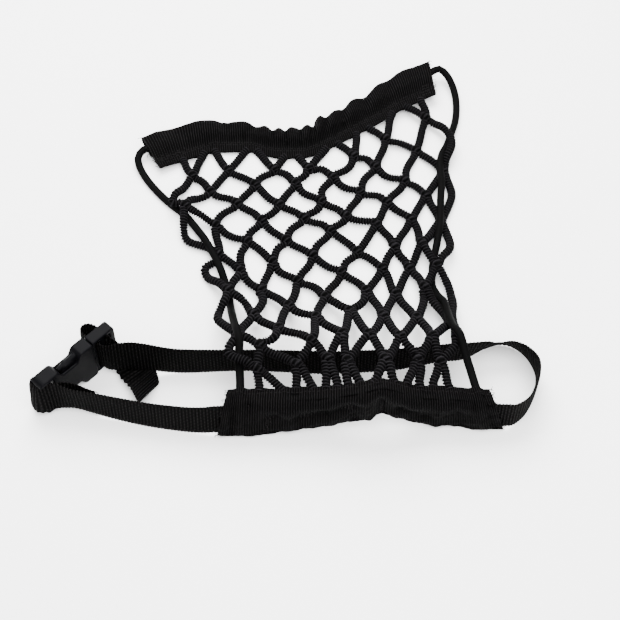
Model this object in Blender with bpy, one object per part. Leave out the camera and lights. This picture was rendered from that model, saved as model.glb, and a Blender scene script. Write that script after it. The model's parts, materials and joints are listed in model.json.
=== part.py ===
# Stretch cargo net with a webbing belt, lying on the ground.
#
# A crocheted cord net hangs between two folded ribbon bindings. A round elastic
# cord runs up one side of the net, through the top binding and down the other
# side. A webbing belt stands on its edge, runs through the bottom binding and
# closes with a side release buckle. The net is draped over the belt's back run.
#
# All sizes below are millimetres. +X is to the right along the belt, +Y points
# from the belt to the top binding, +Z is up and the ground is z = 0.

import math

import bmesh
import bpy
from mathutils import Vector

MM = 0.001
LAYOUT_CENTRE = (-13.95, 59.95)   # point of the layout that becomes the origin

# Net -----------------------------------------------------------------------
STRAND_HALF_WIDTH = 2.1
STRAND_HALF_HEIGHT = 2.0
KNOT_HALF_WIDTH = 4.1            # two strands side by side
KNOT_CROTCH = 2.9                # from the knot's centre to where its strands part
KNOT_PORT = 5.2                  # from the knot's centre to its strands' first section
KNOT_PORT_SIDE = 2.5
KNOT_TURN = 0.6                  # how far a strand turns to its neighbour at a knot
STRAND_PULL = 0.9                # strength of the curve at a strand's ends
SEWN_GAP = 0.7                   # a strand's end stops this far from its binding

# Courses of knots from the top binding down: across (x) and along (y).
# In a "bent" course the first and last entries are bends of the edge strands.
NET_COURSES = (
    # kind, across, along
    ("full", (-82, -57, -25, -1, 31, 54, 83), (112, 117, 118, 119, 130, 145, 164)),
    ("bent", (-92, -69, -38, -10, 16, 46, 75, 100), (87, 98, 104, 105, 111, 120, 135, 142)),
    ("full", (-85, -50, -21, 8, 35, 66, 93), (81, 87, 86, 89, 97, 107, 116)),
    ("bent", (-85, -64, -33, -4, 25, 53, 80, 98), (61, 68, 72, 74, 76, 88, 94, 95)),
    ("full", (-61, -42, -16, 14, 45, 69, 89), (43, 54, 55, 63, 69, 73, 72)),
    ("bent", (-70, -46, -25, 2, 32, 57, 75, 94), (30, 29, 37, 42, 45, 49, 50, 50)),
    ("full", (-53, -32, -8, 21, 48, 66, 84), (8, 13, 21, 28, 31, 31, 30)),
    ("bent", (-59, -36, -14, 10, 37, 56, 75, 92), (-17, -13, -3, 6, 12, 9, 12, 7)),
    ("full", (-45, -20, 4, 26, 47, 68, 89), (-37, -30, -16, -9, -15, -17, -22)),
    ("bent", (-50, -31, 1, 20, 37, 56, 76, 90), (-53, -48, -44, -36, -37, -40, -39, -44)),
    ("full", (-32, -8, 11, 23, 46, 66, 80), (-65, -61, -58, -60, -61, -58, -59)),
)
NET_TOP_ENDS = (-90, -74, -68, -44, -38, -17, -9, 12, 19, 33, 41, 60, 68, 80)
NET_FOOT_ENDS = (-32, -16, -9, 2, 9, 16, 23, 31, 38, 52, 60, 69, 77, 88)

NET_ON_GROUND = STRAND_HALF_HEIGHT
NET_OVER_BELT = 29.3
BELT_BACK_Y = -42.0
RAMP_LENGTH = 62.0               # from the belt to where the net meets the ground
RAMP_POWER = 1.5
TOP_RAMP_LENGTH = 42.0
HOP_HEIGHT = 5.0                 # the net's rise where it passes over the elastic
HOP_NEAR = 6.0
HOP_FAR = 13.0

# Top binding: a folded ribbon, its channel away from the net ----------------
TOP_FLANGE = 11.0
TOP_HALF_PUFF = 3.8
RIBBON_WALL = 1.0
FLANGE_THICKNESS = 1.8
TOP_STATIONS = (
    # x and y of the flange's edge, bearing of the fold in degrees left of +Y,
    # height of the flange's edge, of the channel's centre line, gather, channel's depth
    (-105.0, 117.5, 30, 5.0, 7.0, 0.0, 17.5),
    (-94.0, 123.0, 22, 4.2, 6.0, 0.0, 18.0),
    (-82.5, 128.5, 12, 3.2, 5.0, 0.0, 17.5),
    (-69.0, 134.0, 6, 2.6, 4.4, 0.0, 15.5),
    (-53.5, 134.8, 4, 2.4, 4.2, 0.1, 14.5),
    (-41.0, 134.8, 2, 2.4, 4.2, 0.5, 12.0),
    (-25.0, 129.6, 3, 2.4, 4.2, 1.0, 12.5),
    (-12.0, 129.0, 4, 2.4, 4.2, 1.0, 13.5),
    (0.0, 130.5, 6, 2.4, 4.2, 1.0, 14.5),
    (12.0, 136.6, 12, 2.5, 4.2, 0.8, 13.0),
    (24.0, 144.4, 17, 2.8, 4.4, 0.5, 13.5),
    (37.0, 152.6, 20, 3.4, 5.2, 0.1, 15.0),
    (50.5, 161.0, 20, 4.4, 6.2, 0.0, 15.0),
    (64.0, 171.0, 18, 5.4, 7.4, 0.0, 17.5),
    (79.0, 179.5, 13, 6.8, 8.8, 0.0, 19.5),
    (91.5, 185.5, 9, 8.0, 10.0, 0.0, 20.0),
)
GATHER_DEPTH = 0.7               # how far a gather's crest stands proud
GATHER_PITCH = 12.0
RIBBON_STEP = 6.0

# Bottom binding: the same fold, its channel standing and the belt inside ----
FOOT_FLANGE = 11.0
FOOT_CHANNEL = 30.0
FOOT_HALF_PUFF = 2.75
FOOT_STATIONS = (
    # x at the fold, x at the flange's edge, y at the fold, rise off the ground,
    # lean of the channel towards the net, droop of the flange, both in degrees
    (-57.0, -49.6, -93.2, 0.0, 9, 15),
    (-46.0, -43.0, -94.2, 0.0, 12, 15),
    (-30.0, -28.5, -93.8, 0.0, 12, 15),
    (-14.0, -13.0, -91.0, 0.4, 7, 16),
    (4.0, 4.5, -88.8, 2.6, 2, 18),
    (18.0, 18.5, -88.5, 6.0, 1, 22),
    (29.0, 29.0, -88.4, 9.2, 1, 25),
    (37.0, 37.0, -87.2, 11.6, 0, 27),
    (43.5, 43.0, -85.6, 12.8, -2, 27),
    (50.0, 49.0, -86.0, 10.8, -1, 25),
    (58.0, 56.5, -86.2, 7.0, -1, 22),
    (66.0, 64.0, -86.0, 2.8, -2, 18),
    (76.0, 73.5, -85.8, 0.4, -1, 15),
    (90.0, 86.5, -87.2, 0.0, 1, 14),
    (104.0, 97.0, -88.8, 0.0, 2, 13),
    (119.0, 108.0, -88.6, 0.0, 1, 12),
)

# Belt: 25 mm webbing on its edge, from its sewn end round to its free tail ---
BELT_WIDTH = 25.0
BELT_THICKNESS = 1.5
BELT_STEP = 7.0
BELT_IN_CHANNEL = 2.2            # the belt's lower edge above the fold's lower edge
HEM_THICKNESS = 2.8
BUCKLE_RISE = 3.5                # the belt's lower edge above the buckle's
BELT_SEWN_END = (
    # x, y, rise, lean towards the inside of the loop in degrees
    (-134.5, -77.0, 2.6, -1),
    (-143.3, -74.6, 3.2, -4),
    (-150.0, -73.9, 3.5, -3),
    (-157.0, -74.4, BUCKLE_RISE, 0),
)
BELT_ROUND_BAR = (
    # along and beside the buckle's axis, rise, lean
    (-23.2, -0.5, BUCKLE_RISE, 0),
    (-24.4, 4.0, BUCKLE_RISE, 0),
    (-28.0, 6.2, BUCKLE_RISE, 0),
    (-32.3, 4.6, BUCKLE_RISE, 0),
    (-33.8, 0.0, BUCKLE_RISE, 0),
    (-32.0, -4.6, BUCKLE_RISE, 0),
)
BELT_FRONT = (
    (-156.0, -77.3, 3.5, -2),
    (-149.6, -76.5, 3.5, -4),
    (-143.0, -77.0, 3.2, -4),
    (-133.5, -79.5, 2.4, -1),
    (-123.8, -82.2, 1.2, 2),
    (-111.0, -85.3, 0.3, 4),
    (-98.6, -88.0, 0.0, 5),
    (-86.0, -90.2, 0.0, 6),
    (-73.7, -92.0, 0.2, 7),
    (-64.5, -92.9, 1.0, 8),
)
BELT_RIGHT_LOOP = (
    (124.5, -87.2, 0.6, 0),
    (130.0, -82.8, 0.0, -2),
    (133.8, -78.0, 0.0, -3),
    (137.8, -70.4, 0.0, -2),
    (141.2, -61.3, 0.0, 0),
    (142.6, -53.5, 0.0, 3),
    (141.6, -45.8, 0.0, 10),
    (138.3, -38.0, 0.0, 18),
    (132.8, -31.6, 0.0, 25),
    (125.8, -27.8, 0.0, 30),
    (117.4, -27.2, 0.0, 33),
    (109.2, -31.2, 0.0, 27),
    (102.4, -36.2, 0.0, 14),
    (94.5, -39.2, 0.0, 8),
)
BELT_BACK = (
    (82.8, -40.4, 0.0, 7),
    (63.5, -44.7, 0.0, 3),
    (50.7, -47.0, 0.0, 0),
    (25.3, -48.8, 0.0, -1),
    (6.3, -49.4, 0.0, -2),
    (-25.3, -47.6, 0.0, 0),
    (-47.5, -47.2, 0.0, 1),
    (-76.0, -48.6, 0.0, -3),
    (-88.7, -48.8, 0.9, -5),
    (-101.4, -49.2, 4.0, -8),
    (-110.0, -49.8, 6.1, -9),
    (-117.0, -50.4, 6.7, -8),
    (-123.0, -50.2, 5.9, -5),
    (-127.6, -48.2, 4.3, -2),
)
BELT_IN_LADDER = (
    (16.4, -4.6, BUCKLE_RISE, 0),
    (16.2, -1.0, BUCKLE_RISE, 0),
    (15.9, 3.4, BUCKLE_RISE, 0),
    (14.9, 7.6, BUCKLE_RISE, 0),
    (15.6, 11.4, BUCKLE_RISE, 0),
    (18.8, 13.2, BUCKLE_RISE, 0),
    (22.2, 11.4, BUCKLE_RISE, 0),
    (23.9, 7.4, BUCKLE_RISE, 0),
    (24.0, 3.0, BUCKLE_RISE, 0),
    (24.0, -1.2, BUCKLE_RISE, 0),
)
BELT_TAIL = (
    # lower edge, then the belt's across direction there
    (-125.0, -40.2, 3.5, 0.24, -0.13, 0.96),
    (-124.5, -42.5, 2.4, 0.61, -0.11, 0.78),
    (-123.8, -46.0, 2.0, 0.90, 0.10, 0.42),
    (-122.2, -49.6, 3.0, 0.92, 0.38, 0.08),
    (-118.5, -56.2, 5.0, 0.76, 0.64, -0.10),
    (-112.5, -64.0, 7.6, 0.58, 0.77, -0.26),
    (-108.6, -71.0, 9.6, 0.50, 0.80, -0.33),
    (-105.6, -77.6, 10.8, 0.44, 0.82, -0.37),
)

# Elastic cord: bottom binding, left side, top channel, right side -----------
CORD_DIAMETER = 4.5
CORD_STEP = 9.6
CORD_LEFT = (
    # x, y, height
    (-42.3, -77.0, 26.0),
    (-42.7, -68.0, 26.2),
    (-43.2, -60.5, 26.8),
    (-43.7, -53.0, 29.6),
    (-43.2, -46.5, 34.0),
    (-45.2, -38.0, 33.4),
    (-47.4, -28.0, 26.0),
    (-49.2, -17.0, 17.2),
    (-51.2, -4.0, 7.2),
    (-53.1, 8.0, 4.4),
    (-55.6, 18.5, 3.6),
    (-59.4, 29.5, 6.4),
    (-65.2, 42.5, 7.0),
    (-70.8, 53.5, 6.8),
    (-78.0, 66.4, 3.6),
    (-85.8, 77.8, 2.5),
    (-94.9, 86.2, 2.5),
    (-103.7, 95.8, 2.5),
    (-113.2, 107.6, 2.5),
    (-120.4, 118.6, 3.6),
    (-123.0, 126.4, 5.2),
    (-120.6, 131.2, 6.4),
)
CORD_RIGHT = (
    (94.6, 209.6, 9.6),
    (100.6, 204.2, 8.0),
    (104.9, 193.3, 5.2),
    (106.2, 180.3, 3.2),
    (104.8, 165.6, 2.5),
    (101.2, 153.0, 2.5),
    (97.2, 141.0, 2.5),
    (92.8, 130.0, 5.2),
    (90.6, 117.0, 7.0),
    (91.2, 104.0, 6.9),
    (89.8, 91.0, 6.6),
    (88.9, 78.0, 6.9),
    (87.8, 65.0, 6.9),
    (85.4, 52.0, 4.6),
    (82.6, 40.0, 2.5),
    (81.0, 28.0, 2.5),
    (80.4, 18.0, 2.5),
    (83.6, 8.0, 4.8),
    (86.2, -3.0, 13.6),
    (87.2, -14.0, 18.4),
    (88.0, -24.0, 23.8),
    (89.4, -34.0, 30.2),
    (92.2, -43.0, 35.6),
    (95.4, -55.0, 30.4),
    (98.6, -66.0, 26.4),
    (100.6, -75.8, 26.0),
)
# Stretches of the elastic that the net passes over: side, first and last y.
CORD_COVERED = (
    ("left", 94.0, 70.0),
    ("left", 17.0, 0.0),
    ("left", -56.0, -68.0),
    ("right", 152.0, 134.0),
    ("right", 46.0, 14.0),
)

# Buckle: stands on its long edge, its axis turned in the ground plane -------
BUCKLE_CENTRE = (-145.0, -54.3)
BUCKLE_TURN = math.radians(47)
BUCKLE_WIDTH = 32.0              # its height as it stands
RAIL = 3.0
SOCKET_THICKNESS = 9.6
SOCKET_END = -31.0
SOCKET_BODY = -20.4
SOCKET_WAIST = (-15.5, 1.0)
SOCKET_MOUTH = 12.0
WAIST_INSET = 5.6
CAVITY_HALF_THICKNESS = 3.0
CAVITY_HALF_HEIGHT = 11.6
CAVITY_END = -17.0
BAR_AT = -28.0
BAR_RADIUS = 2.0
PLUG_THICKNESS = 8.0
PLUG_START = 12.3
PLUG_END = 30.0
INNER_SLOT = (14.2, 18.2)
OUTER_SLOT = (21.4, 26.4)
PRONG_CLEARANCE = 0.4
CORNER_ROUND = 2.2


# Materials and mesh helpers ------------------------------------------------
def material(name, colour, roughness):
    made = bpy.data.materials.new(name)
    made.use_nodes = True
    shader = made.node_tree.nodes["Principled BSDF"]
    shader.inputs["Base Color"].default_value = (*colour, 1.0)
    shader.inputs["Roughness"].default_value = roughness
    shader.inputs["Metallic"].default_value = 0.0
    return made


def place(point):
    """Layout millimetres to metres about the part's origin."""
    x, y, z = point
    return ((x - LAYOUT_CENTRE[0]) * MM, (y - LAYOUT_CENTRE[1]) * MM, z * MM)


def solid(name, points, faces, look, smooth_angle=None):
    """A closed mesh object from layout points and faces."""
    mesh = bpy.data.meshes.new(name)
    mesh.from_pydata([place(p) for p in points], [], faces)
    shape = bmesh.new()
    shape.from_mesh(mesh)
    bmesh.ops.recalc_face_normals(shape, faces=shape.faces)
    shape.to_mesh(mesh)
    shape.free()
    if smooth_angle is not None:
        mesh.shade_smooth()
        mesh.set_sharp_from_angle(angle=smooth_angle)
    mesh.materials.append(look)
    made = bpy.data.objects.new(name, mesh)
    bpy.context.collection.objects.link(made)
    return made


# Curves --------------------------------------------------------------------
def smooth_row(rows, i, t):
    """Catmull-Rom value between rows i and i + 1, column by column."""
    last = len(rows) - 1
    a = rows[max(i - 1, 0)]
    b = rows[i]
    c = rows[min(i + 1, last)]
    d = rows[min(i + 2, last)]
    if i == 0:
        a = [2 * q - r for q, r in zip(b, c)]
    if i + 1 == last:
        d = [2 * r - q for q, r in zip(b, c)]
    out = []
    for p, q, r, s in zip(a, b, c, d):
        out.append(0.5 * (2 * q + (r - p) * t + (2 * p - 5 * q + 4 * r - s) * t * t
                          + (3 * q - p - 3 * r + s) * t ** 3))
    return out


def resample(rows, step, columns=2):
    """Rows at an even step along the smooth curve through the rows' first columns."""
    fine = []
    pieces = 16
    for i in range(len(rows) - 1):
        for k in range(pieces):
            fine.append(smooth_row(rows, i, k / pieces))
    fine.append(list(rows[-1]))
    run = [0.0]
    for p, q in zip(fine, fine[1:]):
        run.append(run[-1] + math.dist(p[:columns], q[:columns]))
    count = max(1, round(run[-1] / step))
    out = []
    at = 0
    for k in range(count + 1):
        wanted = run[-1] * k / count
        while at < len(run) - 2 and run[at + 1] < wanted:
            at += 1
        span = max(run[at + 1] - run[at], 1e-9)
        t = min(max((wanted - run[at]) / span, 0.0), 1.0)
        out.append([p + (q - p) * t for p, q in zip(fine[at], fine[at + 1])])
    return out


def at_x(rows, x):
    """The row at position x on rows whose first column rises."""
    for i in range(len(rows) - 1):
        if x <= rows[i + 1][0] or i == len(rows) - 2:
            t = (x - rows[i][0]) / (rows[i + 1][0] - rows[i][0])
            return smooth_row(rows, i, min(max(t, 0.0), 1.0))
    return list(rows[-1])


def soft(value):
    """Smooth step from 0 at 0 to 1 at 1."""
    value = min(max(value, 0.0), 1.0)
    return value * value * (3 - 2 * value)


# Folded ribbon: a flange and a channel that meet at a seam ------------------
CHANNEL_PROFILE = (
    # share of the channel's depth, share of its half puff
    (0.02, 0.80),
    (0.34, 1.00),
    (0.68, 1.00),
    (0.96, 0.80),
    (1.00, 0.00),
    (0.96, -0.80),
    (0.68, -1.00),
    (0.34, -1.00),
    (0.02, -0.80),
)


def ribbon_section(seam, flange_way, flange_face, channel_way, channel_face, flange, depth, puff):
    """Outer and inner outlines of a folded ribbon, both starting on its face side."""
    half = FLANGE_THICKNESS / 2
    edge = seam + flange_way * flange
    root = (flange_face + channel_face).normalized() * half
    outer = [edge - flange_face * half, edge + flange_face * half, seam + root]
    inner = []
    for along, across in CHANNEL_PROFILE:
        outer.append(seam + channel_way * (along * depth) + channel_face * (across * puff))
        shrunk = RIBBON_WALL + along * (depth - 2 * RIBBON_WALL)
        inner.append(seam + channel_way * shrunk + channel_face * (across * (puff - RIBBON_WALL)))
    outer.append(seam - root)
    return outer, inner


def folded_ribbon(name, sections, look):
    """One closed solid round the channel, from its sections."""
    points = []
    faces = []
    outer_count = len(sections[0][0])
    inner_count = len(sections[0][1])
    per = outer_count + inner_count
    for outer, inner in sections:
        points += outer + inner
    for k in range(len(sections) - 1):
        here = k * per
        there = here + per
        for ring_start, count in ((0, outer_count), (outer_count, inner_count)):
            for i in range(count):
                j = (i + 1) % count
                faces.append((here + ring_start + i, here + ring_start + j,
                              there + ring_start + j, there + ring_start + i))
    first_channel = 3
    for end in (0, (len(sections) - 1) * per):
        first_inner = end + outer_count
        last_inner = first_inner + inner_count - 1
        root_face = end + 2
        root_back = end + outer_count - 1
        faces.append((end, end + 1, root_face, root_back))
        faces.append((root_face, first_inner, last_inner, root_back))
        faces.append((root_face, end + first_channel, first_inner))
        faces.append((root_back, last_inner, end + first_channel + inner_count - 1))
        for i in range(inner_count - 1):
            faces.append((end + first_channel + i, end + first_channel + i + 1,
                          first_inner + i + 1, first_inner + i))
    return solid(name, points, faces, look, math.radians(50))


def top_station(row):
    """Seam, ways and faces of the top binding at one station."""
    x, y, bearing, edge_height, channel_height, _, depth = row
    turn = math.radians(bearing)
    reach = TOP_FLANGE + depth / 2
    climb = (channel_height - edge_height) / reach
    to_fold = Vector((-math.sin(turn), math.cos(turn), climb)).normalized()
    edge = Vector((x, y, edge_height))
    along = Vector((math.cos(turn), math.sin(turn), 0))
    face = along.cross(to_fold).normalized()
    return edge, to_fold, face


def top_sections():
    sections = []
    run = 0.0
    before = None
    for row in resample(TOP_STATIONS, RIBBON_STEP):
        edge, to_fold, face = top_station(row)
        run += math.dist(row[:2], before[:2]) if before else 0.0
        before = row
        wave = math.sin(2 * math.pi * run / GATHER_PITCH)
        puff = TOP_HALF_PUFF + GATHER_DEPTH * row[5] * (0.5 + 0.5 * wave)
        lift = puff - TOP_HALF_PUFF
        seam = edge + to_fold * TOP_FLANGE + Vector((0, 0, lift))
        flange_way = edge - seam
        sections.append(ribbon_section(seam, flange_way.normalized(), face, to_fold, face,
                                       flange_way.length, row[6], puff))
    return sections


def foot_station(row):
    """Fold, seam and ways of the bottom binding at one station."""
    x_fold, x_edge, y_fold, rise, lean, droop = row
    tilt = math.radians(lean)
    drop = math.radians(droop)
    reach = FOOT_CHANNEL + FOOT_FLANGE
    shift = (x_edge - x_fold) / reach
    fold = Vector((x_fold, y_fold, rise))
    up = Vector((shift, math.sin(tilt), math.cos(tilt))).normalized()
    seam = fold + up * FOOT_CHANNEL
    back = Vector((shift, math.cos(drop), -math.sin(drop))).normalized()
    return fold, up, seam, back


def foot_sections():
    sections = []
    for row in resample(FOOT_STATIONS, RIBBON_STEP):
        _, up, seam, back = foot_station(row)
        channel_face = Vector((0, -up.z, up.y)).normalized()
        flange_face = Vector((0, -back.z, back.y)).normalized()
        sections.append(ribbon_section(seam, back, flange_face, -up, channel_face,
                                       FOOT_FLANGE, FOOT_CHANNEL, FOOT_HALF_PUFF))
    return sections


# Elastic cord --------------------------------------------------------------
def top_channel_line():
    """The channel's centre line at each of the top binding's stations."""
    line = []
    for row in TOP_STATIONS:
        edge, to_fold, _ = top_station(row)
        line.append(tuple(edge + to_fold * (TOP_FLANGE + row[6] / 2)))
    return line


def cord_line():
    return resample(list(CORD_LEFT) + top_channel_line() + list(CORD_RIGHT), CORD_STEP, 3)


def elastic_cord(look):
    curve = bpy.data.curves.new("elastic_cord", "CURVE")
    curve.dimensions = "3D"
    curve.bevel_depth = CORD_DIAMETER / 2 * MM
    curve.bevel_resolution = 2
    curve.use_fill_caps = True
    route = cord_line()
    spline = curve.splines.new("POLY")
    spline.points.add(len(route) - 1)
    for point, where in zip(spline.points, route):
        point.co = (*place(where), 1.0)
    curve.materials.append(look)
    made = bpy.data.objects.new("elastic_cord", curve)
    bpy.context.collection.objects.link(made)
    return made


# Net -----------------------------------------------------------------------
def net_rest_height(x, y):
    """Height of a strand's centre before it hops over the elastic."""
    if y < BELT_BACK_Y:
        edge = foot_edge_point(x)
        share = (BELT_BACK_Y - y) / (BELT_BACK_Y - edge.y)
        return NET_OVER_BELT + (edge.z - NET_OVER_BELT) * soft(share)
    ramp = min(max(1 - (y - BELT_BACK_Y) / RAMP_LENGTH, 0.0), 1.0)
    height = NET_ON_GROUND + (NET_OVER_BELT - NET_ON_GROUND) * ramp ** RAMP_POWER
    top = at_x(TOP_STATIONS, x)
    climb = soft(1 - (top[1] - y) / TOP_RAMP_LENGTH)
    return height + (top[3] - NET_ON_GROUND) * climb


def covered_lines():
    sides = {"left": CORD_LEFT, "right": CORD_RIGHT}
    lines = []
    for side, first, last in CORD_COVERED:
        route = resample(sides[side], 3.0, 3)
        lines.append([Vector(p[:2]) for p in route if last <= p[1] <= first])
    return lines


def net_height(x, y, covered):
    here = Vector((x, y))
    gap = min((here - p).length for line in covered for p in line)
    hop = 1 - soft((gap - HOP_NEAR) / (HOP_FAR - HOP_NEAR))
    return net_rest_height(x, y) + HOP_HEIGHT * hop


STRAND_RING = ((-1, 0), (-0.5, 1), (0.5, 1), (1, 0), (0.5, -1), (-0.5, -1))
KNOT_RING = (
    (-1.0, 0.0), (-0.75, 1.0), (-0.25, 1.0), (0.0, 0.55), (0.25, 1.0), (0.75, 1.0),
    (1.0, 0.0), (0.75, -1.0), (0.25, -1.0), (0.0, -0.55), (-0.25, -1.0), (-0.75, -1.0),
)


class NetMesh:
    """Collects the net's sections and joins them into one closed surface."""

    def __init__(self):
        self.points = []
        self.faces = []
        self.covered = covered_lines()

    def add(self, point):
        self.points.append(tuple(point))
        return len(self.points) - 1

    def lifted(self, flat):
        return Vector((flat.x, flat.y, net_height(flat.x, flat.y, self.covered)))

    def ring(self, centre, side, shape=STRAND_RING, half_width=STRAND_HALF_WIDTH):
        across = Vector((side.x, side.y, side.z if len(side) > 2 else 0.0))
        return [self.add(centre + across * (s * half_width) + Vector((0, 0, h * STRAND_HALF_HEIGHT)))
                for s, h in shape]

    def bridge(self, one, two):
        for i in range(len(one)):
            j = (i + 1) % len(one)
            self.faces.append((one[i], one[j], two[j], two[i]))

    def strand(self, start_ring, flats, end_ring):
        """Join two rings through sections at the flat points between them."""
        ring = start_ring
        for before, here, after in flats:
            way = (after - before).normalized()
            side = Vector((-way.y, way.x))
            next_ring = self.ring(self.lifted(here), side)
            self.bridge(ring, next_ring)
            ring = next_ring
        self.bridge(ring, end_ring)


class Knot:
    """Two strands side by side; four strands leave it."""

    def __init__(self, net, centre, above, below):
        down = (below[0] + below[1] - above[0] - above[1]).normalized()
        targets = {("upper", "left"): above[0], ("upper", "right"): above[1],
                   ("lower", "left"): below[0], ("lower", "right"): below[1]}
        self.net = net
        self.side = Vector((-down.y, down.x))
        self.rings = {}
        self.ways = {}
        for row, along in (("upper", -1), ("lower", 1)):
            for hand, beside in (("left", -1), ("right", 1)):
                where = centre + down * (along * KNOT_PORT) + self.side * (beside * KNOT_PORT_SIDE)
                target = (targets[row, hand] - where).normalized() * along
                way = (down * (1 - KNOT_TURN) + target * KNOT_TURN).normalized()
                side = Vector((-way.y, way.x))
                self.rings[row, hand] = net.ring(net.lifted(where), side)
                self.ways[row, hand] = (where, way)
        middle = net.ring(net.lifted(centre), self.side, KNOT_RING, KNOT_HALF_WIDTH)
        for row, along in (("upper", -1), ("lower", 1)):
            crotch = net.add(net.lifted(centre + down * (along * KNOT_CROTCH)))
            self.half(self.rings[row, "left"], self.rings[row, "right"], crotch, middle)

    def half(self, left, right, crotch, middle):
        """Faces from two strand rings to the knot's middle ring."""
        p = middle
        self.net.faces += [
            (left[0], left[1], p[1], p[0]),
            (left[1], left[2], p[2], p[1]),
            (left[2], left[3], crotch, p[2]),
            (crotch, p[3], p[2]),
            (left[3], left[4], p[10], crotch),
            (crotch, p[10], p[9]),
            (left[4], left[5], p[11], p[10]),
            (left[5], left[0], p[0], p[11]),
            (right[0], right[1], p[4], crotch),
            (crotch, p[4], p[3]),
            (right[1], right[2], p[5], p[4]),
            (right[2], right[3], p[6], p[5]),
            (right[3], right[4], p[7], p[6]),
            (right[4], right[5], p[8], p[7]),
            (right[5], right[0], crotch, p[8]),
            (crotch, p[9], p[8]),
        ]


def curve_between(start, start_way, end, end_way, shares):
    """Points of a smooth curve with their neighbours, at shares of its length."""
    pull = (end - start).length * STRAND_PULL

    def spot(t):
        h1 = 2 * t ** 3 - 3 * t ** 2 + 1
        h2 = t ** 3 - 2 * t ** 2 + t
        h3 = -2 * t ** 3 + 3 * t ** 2
        h4 = t ** 3 - t ** 2
        return start * h1 + start_way * (pull * h2) + end * h3 + end_way * (pull * h4)

    return [(spot(t - 0.05), spot(t), spot(t + 0.05)) for t in shares]


def top_edge_point(x):
    edge, _, _ = top_station(at_x(TOP_STATIONS, x))
    return edge


def foot_edge_point(x):
    _, _, seam, back = foot_station(at_x(FOOT_STATIONS, x))
    return seam + back * FOOT_FLANGE


def end_section(net, edge_point, x, sign):
    """Ring at a binding's edge, a little short of it; sign is the side the net is on."""
    reach = 2.5
    along = (edge_point(x + reach) - edge_point(x - reach)).normalized()
    out = Vector((along.y, -along.x, 0)).normalized() * sign
    centre = edge_point(x) + out * SEWN_GAP
    return net.ring(centre, along), centre.to_2d(), out.to_2d()


def net_panel(look):
    net = NetMesh()
    plans = []
    for kind, across, along in NET_COURSES:
        plans.append((kind, [Vector((x, y)) for x, y in zip(across, along)]))
    top_ends = [end_section(net, top_edge_point, x, 1) for x in NET_TOP_ENDS]
    foot_ends = [end_section(net, foot_edge_point, x, -1) for x in NET_FOOT_ENDS]
    courses = []
    for number, (kind, spots) in enumerate(plans):
        first = 0 if kind == "full" else 1
        last = len(spots) if kind == "full" else len(spots) - 1
        shift = 0 if kind == "full" else -1
        made = {}
        for k in range(first, last):
            if number == 0:
                above = (top_ends[2 * k][1], top_ends[2 * k + 1][1])
            else:
                above = plans[number - 1][1][k + shift:k + shift + 2]
            if number == len(plans) - 1:
                below = (foot_ends[2 * k][1], foot_ends[2 * k + 1][1])
            else:
                below = plans[number + 1][1][k + shift:k + shift + 2]
            made[k] = Knot(net, spots[k], above, below)
        courses.append(made)

    def join(upper, upper_hand, lower, lower_hand):
        start, start_way = upper.ways["lower", upper_hand]
        end, end_way = lower.ways["upper", lower_hand]
        middle = curve_between(start, start_way, end, end_way, (0.33, 0.67))
        net.strand(upper.rings["lower", upper_hand], middle, lower.rings["upper", lower_hand])

    def join_bend(upper, hand, bend, lower):
        start, start_way = upper.ways["lower", hand]
        end, end_way = lower.ways["upper", hand]
        way = (end - start).normalized()
        flats = curve_between(start, start_way, bend, way, (0.5,))
        flats.append((bend - way, bend, bend + way))
        flats += curve_between(bend, way, end, end_way, (0.5,))
        net.strand(upper.rings["lower", hand], flats, lower.rings["upper", hand])

    for number in range(len(plans) - 1):
        kind, spots = plans[number]
        upper = courses[number]
        lower = courses[number + 1]
        if kind == "full":
            for k in upper:
                if k in lower:
                    join(upper[k], "left", lower[k], "right")
                if k + 1 in lower:
                    join(upper[k], "right", lower[k + 1], "left")
        else:
            for k in upper:
                join(upper[k], "left", lower[k - 1], "right")
                join(upper[k], "right", lower[k], "left")
            above = courses[number - 1]
            last = len(spots) - 1
            join_bend(above[0], "left", spots[0], lower[0])
            join_bend(above[last - 1], "right", spots[last], lower[last - 1])

    for k, knot in courses[0].items():
        for hand, end in (("left", top_ends[2 * k]), ("right", top_ends[2 * k + 1])):
            where, way = knot.ways["upper", hand]
            flats = curve_between(end[1], end[2], where, way, (0.5,))
            net.strand(end[0], flats, knot.rings["upper", hand])
            net.faces.append(tuple(reversed(end[0])))
    for k, knot in courses[-1].items():
        for hand, end in (("left", foot_ends[2 * k]), ("right", foot_ends[2 * k + 1])):
            where, way = knot.ways["lower", hand]
            flats = curve_between(where, way, end[1], -end[2], (0.5,))
            net.strand(knot.rings["lower", hand], flats, end[0])
            net.faces.append(tuple(end[0]))
    return solid("net", net.points, net.faces, look, math.radians(60))


# Belt ----------------------------------------------------------------------
def from_buckle(row):
    """Table row in the buckle's own axes to a row in the layout."""
    along, beside, rise, lean = row
    c = math.cos(BUCKLE_TURN)
    s = math.sin(BUCKLE_TURN)
    return (BUCKLE_CENTRE[0] + along * c - beside * s,
            BUCKLE_CENTRE[1] + along * s + beside * c, rise, lean)


def belt_in_channel():
    rows = []
    for x_fold, _, y_fold, rise, lean, _ in FOOT_STATIONS:
        rows.append((x_fold, y_fold, rise + BELT_IN_CHANNEL, lean))
    return rows


def belt_route():
    rows = list(BELT_SEWN_END) + [from_buckle(r) for r in BELT_ROUND_BAR]
    rows += list(BELT_FRONT) + belt_in_channel() + list(BELT_RIGHT_LOOP) + list(BELT_BACK)
    rows += [from_buckle(r) for r in BELT_IN_LADDER]
    return rows


def turning(rows, k):
    """Angle the plan route turns through at row k."""
    if k in (0, len(rows) - 1):
        return 0.0
    a = Vector(rows[k][:2]) - Vector(rows[k - 1][:2])
    b = Vector(rows[k + 1][:2]) - Vector(rows[k][:2])
    return abs(a.angle_signed(b))


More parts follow.
